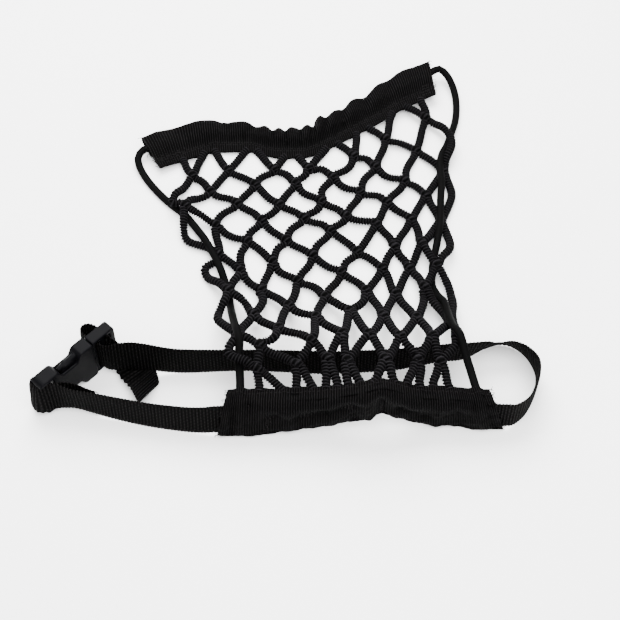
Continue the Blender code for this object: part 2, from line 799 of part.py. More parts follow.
def belt_stations():
    """Lower edge and across direction at each station of the belt."""
    fine = resample(belt_route(), 1.75)
    kept = [0]
    turned = 0.0
    for k in range(1, len(fine) - 1):
        turned += turning(fine, k)
        if turned > math.radians(16) or (k - kept[-1]) * 1.75 > BELT_STEP:
            kept.append(k)
            turned = 0.0
    kept.append(len(fine) - 1)
    stations = []
    for k in kept:
        x, y, rise, lean = fine[k]
        before = fine[max(k - 1, 0)]
        after = fine[min(k + 1, len(fine) - 1)]
        way = Vector((after[0] - before[0], after[1] - before[1], 0)).normalized()
        inward = Vector((-way.y, way.x, 0))
        tilt = math.radians(lean)
        across = Vector((0, 0, math.cos(tilt))) + inward * math.sin(tilt)
        clear = abs(math.sin(tilt)) * BELT_THICKNESS / 2 + 0.1
        stations.append((Vector((x, y, rise + clear)), across))
    for row in resample(BELT_TAIL, 5.0, 3):
        stations.append((Vector(row[:3]), Vector(row[3:]).normalized()))
    return stations


def belt(look):
    stations = belt_stations()
    points = []
    for k, (low, across) in enumerate(stations):
        before = stations[max(k - 1, 0)]
        after = stations[min(k + 1, len(stations) - 1)]
        way = (after[0] + after[1] * (BELT_WIDTH / 2)) - (before[0] + before[1] * (BELT_WIDTH / 2))
        face = way.cross(across).normalized()
        half = (HEM_THICKNESS if k >= len(stations) - 2 else BELT_THICKNESS) / 2
        high = low + across * BELT_WIDTH
        points += [low - face * half, low + face * half, high + face * half, high - face * half]
    faces = [(0, 1, 2, 3)]
    for k in range(len(stations) - 1):
        here = 4 * k
        for i in range(4):
            j = (i + 1) % 4
            faces.append((here + i, here + 4 + i, here + 4 + j, here + j))
    last = len(points) - 4
    faces.append((last + 3, last + 2, last + 1, last))
    return solid("belt", points, faces, look)


# Buckle --------------------------------------------------------------------
def plate(name, outline, thickness, look=None, middle=0.0):
    """Outline of (along, height) points, extruded through the buckle's thickness."""
    count = len(outline)
    points = []
    for beside in (middle - thickness / 2, middle + thickness / 2):
        for along, height in outline:
            x, y, _, _ = from_buckle((along, beside, 0, 0))
            points.append((x, y, height))
    faces = [tuple(reversed(range(count))), tuple(range(count, 2 * count))]
    for i in range(count):
        j = (i + 1) % count
        faces.append((i, j, count + j, count + i))
    made = solid(name, points, faces, look or material(name, (0.5, 0.5, 0.5), 0.5))
    if look is None:
        made.hide_render = True
        made.display_type = "WIRE"
    return made


def box_outline(along_range, height_range):
    (a, b), (low, high) = along_range, height_range
    return ((a, low), (b, low), (b, high), (a, high))


def combine(target, tool, operation):
    step = target.modifiers.new(tool.name, "BOOLEAN")
    step.object = tool
    step.operation = operation
    step.solver = "EXACT"


def mirrored(lower_half):
    """Outline from its lower half, mirrored about the buckle's mid height."""
    upper = [(along, BUCKLE_WIDTH - height) for along, height in reversed(lower_half)]
    return tuple(lower_half) + tuple(upper)


def end_bar():
    """Round bar that crosses the socket's end opening, set into both rails."""
    points = []
    sides = 12
    for height in (RAIL / 2, BUCKLE_WIDTH - RAIL / 2):
        for k in range(sides):
            turn = 2 * math.pi * k / sides
            along = BAR_AT + BAR_RADIUS * math.cos(turn)
            x, y, _, _ = from_buckle((along, BAR_RADIUS * math.sin(turn), 0, 0))
            points.append((x, y, height))
    faces = [tuple(reversed(range(sides))), tuple(range(sides, 2 * sides))]
    for k in range(sides):
        j = (k + 1) % sides
        faces.append((k, j, sides + j, sides + k))
    made = solid("end_bar", points, faces, material("end_bar", (0.5, 0.5, 0.5), 0.5))
    made.hide_render = True
    made.display_type = "WIRE"
    return made


def buckle_socket(look):
    waist_start, waist_end = SOCKET_WAIST
    outline = mirrored((
        (SOCKET_END, CORNER_ROUND * 1.6),
        (SOCKET_END + CORNER_ROUND, 0.4),
        (SOCKET_END + 2 * CORNER_ROUND, 0.0),
        (waist_start - 1.5, 0.0),
        (waist_start, 1.4),
        (waist_start + 2.5, WAIST_INSET),
        (waist_end - 2.5, WAIST_INSET),
        (waist_end, 1.2),
        (waist_end + 1.5, 0.0),
        (SOCKET_MOUTH - 0.8, 0.0),
        (SOCKET_MOUTH, 0.8),
    ))
    socket = plate("buckle_socket", outline, SOCKET_THICKNESS, look)
    middle = BUCKLE_WIDTH / 2
    opening = box_outline((SOCKET_END - 1, SOCKET_BODY), (RAIL, BUCKLE_WIDTH - RAIL))
    combine(socket, plate("end_opening", opening, SOCKET_THICKNESS + 2), "DIFFERENCE")
    cavity = box_outline((CAVITY_END, SOCKET_MOUTH + 1),
                         (middle - CAVITY_HALF_HEIGHT, middle + CAVITY_HALF_HEIGHT))
    combine(socket, plate("cavity", cavity, 2 * CAVITY_HALF_THICKNESS), "DIFFERENCE")
    combine(socket, end_bar(), "UNION")
    return socket


def buckle_plug(look):
    outline = mirrored((
        (PLUG_START, 0.3),
        (PLUG_END - CORNER_ROUND, 0.3),
        (PLUG_END - 0.6, 0.9),
        (PLUG_END, CORNER_ROUND),
    ))
    plug = plate("buckle_plug", outline, PLUG_THICKNESS, look)
    opening = (RAIL, BUCKLE_WIDTH - RAIL)
    for name, along in (("inner_slot", INNER_SLOT), ("outer_slot", OUTER_SLOT)):
        cut = plate(name, box_outline(along, opening), PLUG_THICKNESS + 2)
        combine(plug, cut, "DIFFERENCE")
    middle = BUCKLE_WIDTH / 2
    low = middle - CAVITY_HALF_HEIGHT + PRONG_CLEARANCE
    waist_start, waist_end = SOCKET_WAIST
    prongs = mirrored((
        (PLUG_START + 0.5, low),
        (waist_end - 3.6, low),
        (waist_end - 4.6, 3.4),
        (waist_start + 7.0, 3.0),
        (waist_start + 3.6, low + 1.6),
        (waist_start + 3.6, low + 4.2),
        (PLUG_START - 6.0, low + 4.6),
        (PLUG_START - 6.0, middle - 2.0),
        (CAVITY_END + 3.0, middle - 1.6),
    ))
    tool = plate("prongs", prongs, 2 * (CAVITY_HALF_THICKNESS - PRONG_CLEARANCE))
    combine(plug, tool, "UNION")
    return plug


# The part ------------------------------------------------------------------
def main():
    for old in list(bpy.data.objects):
        bpy.data.objects.remove(old)
    cord_look = material("net_cord", (0.020, 0.019, 0.019), 0.85)
    ribbon_look = material("ribbon", (0.022, 0.020, 0.019), 0.80)
    elastic_look = material("elastic", (0.015, 0.015, 0.016), 0.65)
    webbing_look = material("webbing", (0.020, 0.019, 0.018), 0.78)
    plastic_look = material("buckle_plastic", (0.045, 0.045, 0.052), 0.38)
    net_panel(cord_look)
    folded_ribbon("top_binding", top_sections(), ribbon_look)
    folded_ribbon("bottom_binding", foot_sections(), ribbon_look)
    elastic_cord(elastic_look)
    belt(webbing_look)
    buckle_socket(plastic_look)
    buckle_plug(plastic_look)


main()
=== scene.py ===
import json
import math
import random

import bmesh
import bpy
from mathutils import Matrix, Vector

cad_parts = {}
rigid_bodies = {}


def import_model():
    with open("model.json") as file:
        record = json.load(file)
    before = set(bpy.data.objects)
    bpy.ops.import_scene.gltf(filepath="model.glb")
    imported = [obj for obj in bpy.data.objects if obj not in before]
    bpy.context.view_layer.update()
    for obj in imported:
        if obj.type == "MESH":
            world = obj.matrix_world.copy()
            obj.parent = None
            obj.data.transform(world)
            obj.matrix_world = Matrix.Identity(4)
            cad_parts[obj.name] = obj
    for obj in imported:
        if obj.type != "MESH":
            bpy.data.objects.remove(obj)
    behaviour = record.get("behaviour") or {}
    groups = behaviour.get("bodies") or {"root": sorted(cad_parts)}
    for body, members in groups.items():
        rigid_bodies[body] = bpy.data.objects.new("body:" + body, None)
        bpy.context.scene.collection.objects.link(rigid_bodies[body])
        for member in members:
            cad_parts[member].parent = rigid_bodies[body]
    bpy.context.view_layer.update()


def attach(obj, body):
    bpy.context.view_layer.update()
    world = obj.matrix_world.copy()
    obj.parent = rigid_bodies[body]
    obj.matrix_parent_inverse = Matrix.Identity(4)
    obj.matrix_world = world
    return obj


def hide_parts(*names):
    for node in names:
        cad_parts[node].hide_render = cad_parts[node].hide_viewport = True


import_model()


# Lengths are written in millimetres in the layout's own axes and placed with layoutPoint
mm = 0.001
layoutCentre = (-13.95, 59.95)


def layoutPoint(x, y, z):
    return Vector(((x - layoutCentre[0]) * mm, (y - layoutCentre[1]) * mm, z * mm))


# Angle, distance in metres and lens as fitted to the photo
cameraSetup = {"elevation": 55.0, "distance": 0.9, "lens": 80.0, "aim": (0.0, 0.0, 0.0)}


def addCamera(p):
    data = bpy.data.cameras.new("photoCamera")
    data.lens = p["lens"]
    data.sensor_width = 36.0
    camera = bpy.data.objects.new("photoCamera", data)
    bpy.context.scene.collection.objects.link(camera)
    aim = layoutPoint(*p["aim"])
    tilt = math.radians(p["elevation"])
    camera.location = aim + Vector((0, -math.cos(tilt), math.sin(tilt))) * p["distance"]
    camera.rotation_euler = (math.radians(90 - p["elevation"]), 0, 0)
    bpy.context.scene.camera = camera


addCamera(cameraSetup)


# Smooth curve through the rows of a table, at share t of the way from row i to the next
def smoothRow(rows, i, t):
    last = len(rows) - 1
    a, b = rows[max(i - 1, 0)], rows[i]
    c, d = rows[min(i + 1, last)], rows[min(i + 2, last)]
    if i == 0:
        a = [2 * q - r for q, r in zip(b, c)]
    if i + 1 == last:
        d = [2 * r - q for q, r in zip(b, c)]
    out = []
    for p, q, r, s in zip(a, b, c, d):
        out.append(0.5 * (2 * q + (r - p) * t + (2 * p - 5 * q + 4 * r - s) * t * t
                          + (3 * q - p - 3 * r + s) * t ** 3))
    return out


# Rows at even steps along that curve, whose length counts the first columns only
def resample(rows, step, columns=2, pieces=16):
    fine = []
    for i in range(len(rows) - 1):
        for k in range(pieces):
            fine.append(smoothRow(rows, i, k / pieces))
    fine.append(list(rows[-1]))
    run = [0.0]
    for p, q in zip(fine, fine[1:]):
        run.append(run[-1] + math.dist(p[:columns], q[:columns]))
    count = max(1, round(run[-1] / step))
    out = []
    at = 0
    for k in range(count + 1):
        wanted = run[-1] * k / count
        while at < len(run) - 2 and run[at + 1] < wanted:
            at += 1
        t = min(max((wanted - run[at]) / max(run[at + 1] - run[at], 1e-9), 0.0), 1.0)
        out.append([p + (q - p) * t for p, q in zip(fine[at], fine[at + 1])])
    return out


# Row of a table at a given x, which is its first column
def rowAtX(rows, x):
    for i in range(len(rows) - 1):
        if x <= rows[i + 1][0] or i == len(rows) - 2:
            t = (x - rows[i][0]) / (rows[i + 1][0] - rows[i][0])
            return smoothRow(rows, i, min(max(t, 0.0), 1.0))
    return list(rows[-1])


# Smooth step from 0 to 1
def soft(value):
    value = min(max(value, 0.0), 1.0)
    return value * value * (3 - 2 * value)


# Bell curve, 1 at the middle
def bell(gap, width):
    return math.exp(-(gap / width) ** 2)


# Sum of three sines with unrelated pitches, between about -1 and 1
def unevenWave(run, pitch, seed):
    rng = random.Random(seed)
    total = 0.0
    for share in (1.0, 0.61, 1.73):
        total += math.sin(2 * math.pi * (run / (pitch * share) + rng.random())) / 2.2
    return total


def newGroup(name, inputs, outputs):
    tree = bpy.data.node_groups.new(name, "ShaderNodeTree")
    for label, value in inputs:
        socket = tree.interface.new_socket(label, in_out="INPUT", socket_type="NodeSocketFloat")
        socket.default_value = value
    for label in outputs:
        tree.interface.new_socket(label, in_out="OUTPUT", socket_type="NodeSocketFloat")
    return tree, tree.nodes.new("NodeGroupInput"), tree.nodes.new("NodeGroupOutput")


def setOrLink(tree, value, socket):
    if isinstance(value, (int, float)):
        socket.default_value = value
    elif value is not None:
        tree.links.new(value, socket)


def mathNode(tree, operation, first, second=None):
    node = tree.nodes.new("ShaderNodeMath")
    node.operation = operation
    setOrLink(tree, first, node.inputs[0])
    setOrLink(tree, second, node.inputs[1])
    return node.outputs[0]


# Sine of an angle, brought to between 0 and 1
def waveNode(tree, angle):
    return mathNode(tree, "MULTIPLY", mathNode(tree, "ADD", mathNode(tree, "SINE", angle), 1.0), 0.5)


def noiseNode(tree, scale, detail, where):
    node = tree.nodes.new("ShaderNodeTexNoise")
    setOrLink(tree, scale, node.inputs["Scale"])
    node.inputs["Detail"].default_value = detail
    tree.links.new(where, node.inputs["Vector"])
    return node.outputs[0]


ribPattern = {
    "swayScale": 3.0, "swayDetail": 2.0,                # slow drift of the ribs to the side
    "streaksAlong": 14.0, "streaksAcross": 5.0,         # worn streaks in each centimetre
    "streakDetail": 3.0, "streakContrast": 4.0,
}


# Ribs across a woven band, with finer yarns along it; the UV map is in centimetres. Height feeds the bump; the
# second output is the mask of the painted highlight on the rib crests, where the grooves stay dark as painted
# shade
def makeRibGroup(p):
    tree, given, out = newGroup(
        "wovenRibs",
        (("Rib pitch", 0.15), ("Yarn pitch", 0.06), ("Yarn share", 0.35), ("Sway", 0.02),
         ("Crest power", 2.5), ("Streaks", 0.5)), ("Height", "Crest highlight"))
    size = given.outputs

    def times(first, second):
        return mathNode(tree, "MULTIPLY", first, second)

    def plus(first, second):
        return mathNode(tree, "ADD", first, second)

    uv = tree.nodes.new("ShaderNodeUVMap")
    uv.uv_map = "clothUv"
    split = tree.nodes.new("ShaderNodeSeparateXYZ")
    tree.links.new(uv.outputs["UV"], split.inputs[0])
    drift = noiseNode(tree, p["swayScale"], p["swayDetail"], uv.outputs["UV"])
    along = plus(split.outputs[0], times(mathNode(tree, "SUBTRACT", drift, 0.5), size["Sway"]))
    turn = times(mathNode(tree, "DIVIDE", along, size["Rib pitch"]), 2 * math.pi)
    rib = waveNode(tree, turn)
    cross = times(mathNode(tree, "DIVIDE", split.outputs[1], size["Yarn pitch"]), 2 * math.pi)
    # in every other rib the yarns lie half a pitch further on
    side = mathNode(tree, "SIGN", mathNode(tree, "SINE", times(turn, 0.5)))
    yarn = waveNode(tree, plus(cross, times(side, math.pi / 2)))
    kept = mathNode(tree, "SUBTRACT", 1.0, size["Yarn share"])
    height = plus(times(rib, kept), times(times(yarn, rib), size["Yarn share"]))
    tree.links.new(height, out.inputs["Height"])
    # painted highlight: the crests' share of the lighter crest colour, dimmed or raised by worn streaks
    crest = mathNode(tree, "POWER", height, size["Crest power"])
    stretched = tree.nodes.new("ShaderNodeCombineXYZ")
    tree.links.new(times(split.outputs[0], p["streaksAlong"]), stretched.inputs[0])
    tree.links.new(times(split.outputs[1], p["streaksAcross"]), stretched.inputs[1])
    patchy = noiseNode(tree, 1.0, p["streakDetail"], stretched.outputs[0])
    streak = times(times(mathNode(tree, "SUBTRACT", patchy, 0.5), p["streakContrast"]), size["Streaks"])
    streakedHighlight = times(crest, plus(streak, 1.0))
    tree.links.new(mathNode(tree, "MAXIMUM", streakedHighlight, 0.0), out.inputs["Crest highlight"])
    return tree


# Fibres and larger patches, on object coordinates
def makeFuzzGroup(detail=4.0):
    tree, given, out = newGroup(
        "fibreFuzz", (("Fibre scale", 900.0), ("Patch scale", 40.0)), ("Fibre", "Patch"))
    coords = tree.nodes.new("ShaderNodeTexCoord")
    for label in ("Fibre", "Patch"):
        noise = noiseNode(tree, given.outputs[label + " scale"], detail, coords.outputs["Object"])
        tree.links.new(noise, out.inputs[label])
    return tree


ribGroup = makeRibGroup(ribPattern)
fuzzGroup = makeFuzzGroup()


def placeGroup(tree, group, look, labels):
    # labels: the group's inputs, each with its key in look
    node = tree.nodes.new("ShaderNodeGroup")
    node.node_tree = group
    for label, key in labels:
        node.inputs[label].default_value = look[key]
    return node.outputs


def mixColour(tree, factor, low, high):
    node = tree.nodes.new("ShaderNodeMix")
    node.data_type = "RGBA"
    tree.links.new(factor, node.inputs["Factor"])
    for key, value in (("A", low), ("B", high)):
        socket = [s for s in node.inputs if s.name == key and s.type == "RGBA"][0]
        if isinstance(value, tuple):
            socket.default_value = (*value, 1.0)
        else:
            tree.links.new(value, socket)
    return [s for s in node.outputs if s.type == "RGBA"][0]


def newMaterial(name, roughness, specular):
    material = bpy.data.materials.new(name)
    material.use_nodes = True
    shader = material.node_tree.nodes["Principled BSDF"]
    shader.inputs["Roughness"].default_value = roughness
    shader.inputs["Specular IOR Level"].default_value = specular
    return material, material.node_tree, shader


def startMaterial(name, look):
    material, tree, shader = newMaterial(name, look["roughness"], look["specular"])
    fuzz = placeGroup(tree, fuzzGroup, look, (("Fibre scale", "fibreScale"), ("Patch scale", "patchScale")))
    return material, tree, shader, fuzz


def addBump(tree, shader, height, look):
    bump = tree.nodes.new("ShaderNodeBump")
    bump.inputs["Strength"].default_value = look["bump"]
    bump.inputs["Distance"].default_value = look["bumpDistance"]
    tree.links.new(height, bump.inputs["Height"])
    tree.links.new(bump.outputs[0], shader.inputs["Normal"])


def attributeNode(tree, name):
    node = tree.nodes.new("ShaderNodeAttribute")
    node.attribute_name = name
    return node.outputs["Fac"]


def wovenMaterial(name, look):
    material, tree, shader, fuzz = startMaterial(name, look)
    ribs = placeGroup(tree, ribGroup, look, (
        ("Rib pitch", "ribPitch"), ("Yarn pitch", "yarnPitch"), ("Yarn share", "yarnShare"), ("Sway", "sway"),
        ("Crest power", "crestPower"), ("Streaks", "streaks")))
    # Painted light: the crest colour is a painted highlight on the ribs, the groove colour painted shade
    # between them
    cloth = mixColour(tree, ribs["Crest highlight"], look["groove"], look["crest"])
    worn = mixColour(tree, mathNode(tree, "MULTIPLY", fuzz["Fibre"], look["fibreShare"]), cloth, look["fibre"])
    faded = mixColour(tree, mathNode(tree, "MULTIPLY", fuzz["Patch"], look["patchShare"]), worn, look["patch"])
    # Painted shade: the cloth turns towards the groove colour in its folds
    foldShade = mathNode(tree, "MULTIPLY", attributeNode(tree, "foldShade"), look["foldShadeShare"])
    tree.links.new(mixColour(tree, foldShade, faded, look["groove"]), shader.inputs["Base Color"])
    fibres = mathNode(tree, "MULTIPLY", fuzz["Fibre"], look["fibreHeight"])
    addBump(tree, shader, mathNode(tree, "ADD", ribs["Height"], fibres), look)
    return material


def yarnMaterial(name, look):
    material, tree, shader, fuzz = startMaterial(name, look)
    # Painted light: ridge crests get the light crest colour as a painted highlight, the dips between them the
    # groove colour as painted shade
    ridge = mathNode(tree, "POWER", attributeNode(tree, "ridgeHeight"), look["ridgePower"])
    yarn = mixColour(tree, ridge, look["groove"], look["crest"])
    worn = mixColour(tree, mathNode(tree, "MULTIPLY", fuzz["Fibre"], look["fibreShare"]), yarn, look["fibre"])
    tree.links.new(worn, shader.inputs["Base Color"])
    addBump(tree, shader, fuzz["Fibre"], look)
    return material


# One tone between dark and light, broken by the fibres or by the larger patches
def plainMaterial(name, look):
    material, tree, shader, fuzz = startMaterial(name, look)
    tone = mixColour(tree, fuzz[look["brokenBy"]], look["dark"], look["light"])
    tree.links.new(tone, shader.inputs["Base Color"])
    if "patchRoughness" in look:
        low, spread = look["patchRoughness"]
        rough = mathNode(tree, "ADD", low, mathNode(tree, "MULTIPLY", fuzz["Patch"], spread))
        tree.links.new(rough, shader.inputs["Roughness"])
    if "bump" in look:
        addBump(tree, shader, fuzz["Fibre"], look)
    return material


# Rib and yarn pitches are in centimetres, bump distances in metres
# groove and crest colours: painted shade in the grooves, painted highlight on the crests; the groove colour is
# also the painted shade in the folds; fibre and patch are the cloth's own uneven tone
clothLook = {
    "specular": 0.015, "streaks": 0.6, "bump": 1.0, "groove": (0.0002, 0.0002, 0.0002),
    "fibreShare": 0.2, "patchShare": 0.15, "foldShadeShare": 0.85, "fibreHeight": 0.25,
    "patch": (0.0012, 0.0011, 0.0011),
}
ribbonLook = dict(
    clothLook, roughness=0.75, ribPitch=0.155, yarnPitch=0.07, yarnShare=0.2, sway=0.06, crestPower=3.2,
    fibreScale=1400.0, patchScale=30.0, bumpDistance=0.0006, crest=(0.0080, 0.0073, 0.0076),
    fibre=(0.0022, 0.0020, 0.0021))
webbingLook = dict(
    clothLook, roughness=0.72, ribPitch=0.21, yarnPitch=0.30, yarnShare=0.5, sway=0.03, crestPower=1.8,
    fibreScale=1600.0, patchScale=26.0, bumpDistance=0.0007, crest=(0.0080, 0.0073, 0.0074),
    fibre=(0.0022, 0.0020, 0.0020))
yarnLook = {
    # groove and crest: painted shade and painted highlight on the yarn's ridges
    "roughness": 0.8, "specular": 0.015, "fibreScale": 1500.0, "patchScale": 60.0, "ridgePower": 4.5,
    "groove": (0.0002, 0.0002, 0.0002), "crest": (0.0160, 0.0149, 0.0166), "fibre": (0.0015, 0.0014, 0.0016),
    "fibreShare": 0.3, "bump": 0.6, "bumpDistance": 0.0003,
}
elasticLook = {
    "roughness": 0.65, "specular": 0.011, "fibreScale": 1800.0, "patchScale": 50.0, "brokenBy": "Fibre",
    "dark": (0.0005, 0.0005, 0.0005), "light": (0.0022, 0.0021, 0.0022), "bump": 0.35, "bumpDistance": 0.0002,
}
plasticLook = {
    "roughness": 0.42, "specular": 0.022, "fibreScale": 2600.0, "patchScale": 90.0, "brokenBy": "Patch",
    "dark": (0.0009, 0.0009, 0.0012), "light": (0.0018, 0.0018, 0.0023), "patchRoughness": (0.36, 0.18),
    "bump": 0.12, "bumpDistance": 0.0001,
}
threadLook = {
    "roughness": 0.7, "specular": 0.03, "fibreScale": 3000.0, "patchScale": 100.0, "brokenBy": "Fibre",
    "dark": (0.0006, 0.0006, 0.0006), "light": (0.0080, 0.0075, 0.0076),
}
ribbedRibbon = wovenMaterial("ribbedRibbon", ribbonLook)
wovenWebbing = wovenMaterial("wovenWebbing", webbingLook)
crochetYarn = yarnMaterial("crochetYarn", yarnLook)
elasticSleeve = plainMaterial("elasticSleeve", elasticLook)
mouldedPlastic = plainMaterial("mouldedPlastic", plasticLook)
sewingThread = plainMaterial("sewingThread", threadLook)
print("materials made")


def addObject(name, data):
    made = bpy.data.objects.new(name, data)
    bpy.context.scene.collection.objects.link(made)
    return made


def addMesh(name, points, faces, material, uv=None, smoothAngle=60.0):
    # points are layout millimetres; uv gives one pair for each corner of each face, in centimetres
    mesh = bpy.data.meshes.new(name)
    mesh.from_pydata([layoutPoint(*p) for p in points], [], faces)
    if uv:
        layer = mesh.uv_layers.new(name="clothUv")
        flat = [value for corner in uv for pair in corner for value in pair]
        layer.data.foreach_set("uv", flat)
    shape = bmesh.new()
    shape.from_mesh(mesh)
    bmesh.ops.recalc_face_normals(shape, faces=shape.faces)
    shape.to_mesh(mesh)
    shape.free()
    mesh.shade_smooth()
    mesh.set_sharp_from_angle(angle=math.radians(smoothAngle))
    mesh.materials.append(material)
    return addObject(name, mesh)


def newTree(name, inputs):
    tree = bpy.data.node_groups.new(name, "GeometryNodeTree")
    tree.interface.new_socket("Geometry", in_out="INPUT", socket_type="NodeSocketGeometry")
    for label, kind, value in inputs:
        tree.interface.new_socket(label, in_out="INPUT", socket_type=kind).default_value = value
    tree.interface.new_socket("Geometry", in_out="OUTPUT", socket_type="NodeSocketGeometry")
    return tree, tree.nodes.new("NodeGroupInput"), tree.nodes.new("NodeGroupOutput")


def treeNode(tree, kind, inputs, **settings):
    # inputs by name or number: a socket is linked, a plain value is set
    node = tree.nodes.new(kind)
    for key, value in settings.items():
        setattr(node, key, value)
    for key, value in inputs.items():
        if isinstance(value, bpy.types.NodeSocket):
            tree.links.new(value, node.inputs[key])
        else:
            node.inputs[key].default_value = value
    return node


def closeTree(tree, out, geometry, material):
    smooth = treeNode(tree, "GeometryNodeSetShadeSmooth", {"Geometry": geometry})
    real = treeNode(tree, "GeometryNodeRealizeInstances", {0: smooth.outputs[0]})
    dressed = treeNode(tree, "GeometryNodeSetMaterial", {"Geometry": real.outputs[0], "Material": material})
    tree.links.new(dressed.outputs[0], out.inputs[0])


def runTree(source, tree, values, name, material):
    # Evaluate a tree on a path object and keep the result as a plain mesh
    step = source.modifiers.new(tree.name, "NODES")
    step.node_group = tree
    for item in tree.interface.items_tree:
        if item.item_type == "SOCKET" and item.in_out == "INPUT" and item.name in values:
            step[item.identifier] = values[item.name]
    graph = bpy.context.evaluated_depsgraph_get()
    mesh = bpy.data.meshes.new_from_object(source.evaluated_get(graph))
    source.modifiers.remove(step)
    bpy.data.objects.remove(source)
    mesh.materials.clear()
    mesh.materials.append(material)
    return addObject(name, mesh)


def lineCurve(name, routes, radius=0.0, rounds=0):
    # One open line for each route; a radius, in millimetres, makes it a round rod with closed ends
    curve = bpy.data.curves.new(name, "CURVE")
    curve.dimensions = "3D"
    curve.bevel_depth = radius * mm
    curve.bevel_resolution = rounds
    curve.use_fill_caps = radius > 0
    for route in routes:
        spline = curve.splines.new("POLY")
        spline.points.add(len(route) - 1)
        for point, where in zip(spline.points, route):
            point.co = (*where, 1.0)
    return curve


def pathObject(name, routes, thinEnds=0, ridges=None):
    # thinEnds: points at each end over which a cord gets thinner; ridges: count of ridges up to each point
    curve = lineCurve(name, routes)
    for r, spline in enumerate(curve.splines):
        for k, point in enumerate(spline.points):
            point.tilt = ridges[r][k] if ridges else 0.0
            nearEnd = min(k, len(spline.points) - 1 - k)
            point.radius = 1.0 if nearEnd >= thinEnds else 0.45 + 0.55 * nearEnd / thinEnds
    return addObject(name, curve)


# Stations of the two bindings, which the cords that run into them also need
footStations = (
    # x at the fold, x at the flange's edge, y at the fold, rise off the ground,
    # lean of the channel towards the net, droop of the flange, both in degrees
    (-57.0, -49.6, -93.2, 0.0, 9, 15),
    (-46.0, -43.0, -94.2, 0.0, 12, 15),
    (-30.0, -28.5, -93.8, 0.0, 12, 15),
    (-14.0, -13.0, -91.0, 0.4, 7, 16),
    (4.0, 4.5, -88.8, 2.6, 2, 18),
    (18.0, 18.5, -88.5, 6.0, 1, 22),
    (29.0, 29.0, -88.4, 9.2, 1, 25),
    (37.0, 37.0, -87.2, 11.6, 0, 27),
    (43.5, 43.0, -85.6, 12.8, -2, 27),
    (50.0, 49.0, -86.0, 10.8, -1, 25),
    (58.0, 56.5, -86.2, 7.0, -1, 22),
    (66.0, 64.0, -86.0, 2.8, -2, 18),
    (76.0, 73.5, -85.8, 0.4, -1, 15),
    (90.0, 86.5, -87.2, 0.0, 1, 14),
    (104.0, 97.0, -88.8, 0.0, 2, 13),
    (119.0, 108.0, -88.6, 0.0, 1, 12),
)
footRibbon = {"flange": 11.0, "channel": 30.0, "halfPuff": 2.75, "wall": 1.0, "flangeThickness": 1.8}


def footStation(row):
    xFold, xEdge, yFold, rise, lean, droop = row
    tilt, drop = math.radians(lean), math.radians(droop)
    shift = (xEdge - xFold) / (footRibbon["channel"] + footRibbon["flange"])
    fold = Vector((xFold, yFold, rise))
    up = Vector((shift, math.sin(tilt), math.cos(tilt))).normalized()
    back = Vector((shift, math.cos(drop), -math.sin(drop))).normalized()
    return fold, up, fold + up * footRibbon["channel"], back


topStations = (
    # x and y of the flange's edge, bearing of the fold in degrees left of +Y,
    # height of the flange's edge, of the channel's centre line, gather, channel's depth
    (-105.0, 117.5, 30, 5.0, 7.0, 0.0, 17.5),
    (-94.0, 123.0, 22, 4.2, 6.0, 0.0, 18.0),
    (-82.5, 128.5, 12, 3.2, 5.0, 0.0, 17.5),
    (-69.0, 134.0, 6, 2.6, 4.4, 0.0, 15.5),
    (-53.5, 134.8, 4, 2.4, 4.2, 0.1, 14.5),
    (-41.0, 134.8, 2, 2.4, 4.2, 0.5, 12.0),
    (-25.0, 129.6, 3, 2.4, 4.2, 1.0, 12.5),
    (-12.0, 129.0, 4, 2.4, 4.2, 1.0, 13.5),
    (0.0, 130.5, 6, 2.4, 4.2, 1.0, 14.5),
    (12.0, 136.6, 12, 2.5, 4.2, 0.8, 13.0),
    (24.0, 144.4, 17, 2.8, 4.4, 0.5, 13.5),
    (37.0, 152.6, 20, 3.4, 5.2, 0.1, 15.0),
    (50.5, 161.0, 20, 4.4, 6.2, 0.0, 15.0),
    (64.0, 171.0, 18, 5.4, 7.4, 0.0, 17.5),
    (79.0, 179.5, 13, 6.8, 8.8, 0.0, 18.2),
    (91.5, 185.5, 9, 8.0, 10.0, 0.0, 18.4),
)
topRibbon = {"flange": 11.0, "halfPuff": 3.8, "wall": 1.0, "flangeThickness": 1.8}


def topStation(row):
    x, y, bearing, edgeHeight, channelHeight, _, depth = row
    turn = math.radians(bearing)
    climb = (channelHeight - edgeHeight) / (topRibbon["flange"] + depth / 2)
    toFold = Vector((-math.sin(turn), math.cos(turn), climb)).normalized()
    along = Vector((math.cos(turn), math.sin(turn), 0))
    return Vector((x, y, edgeHeight)), toFold, along.cross(toFold).normalized()


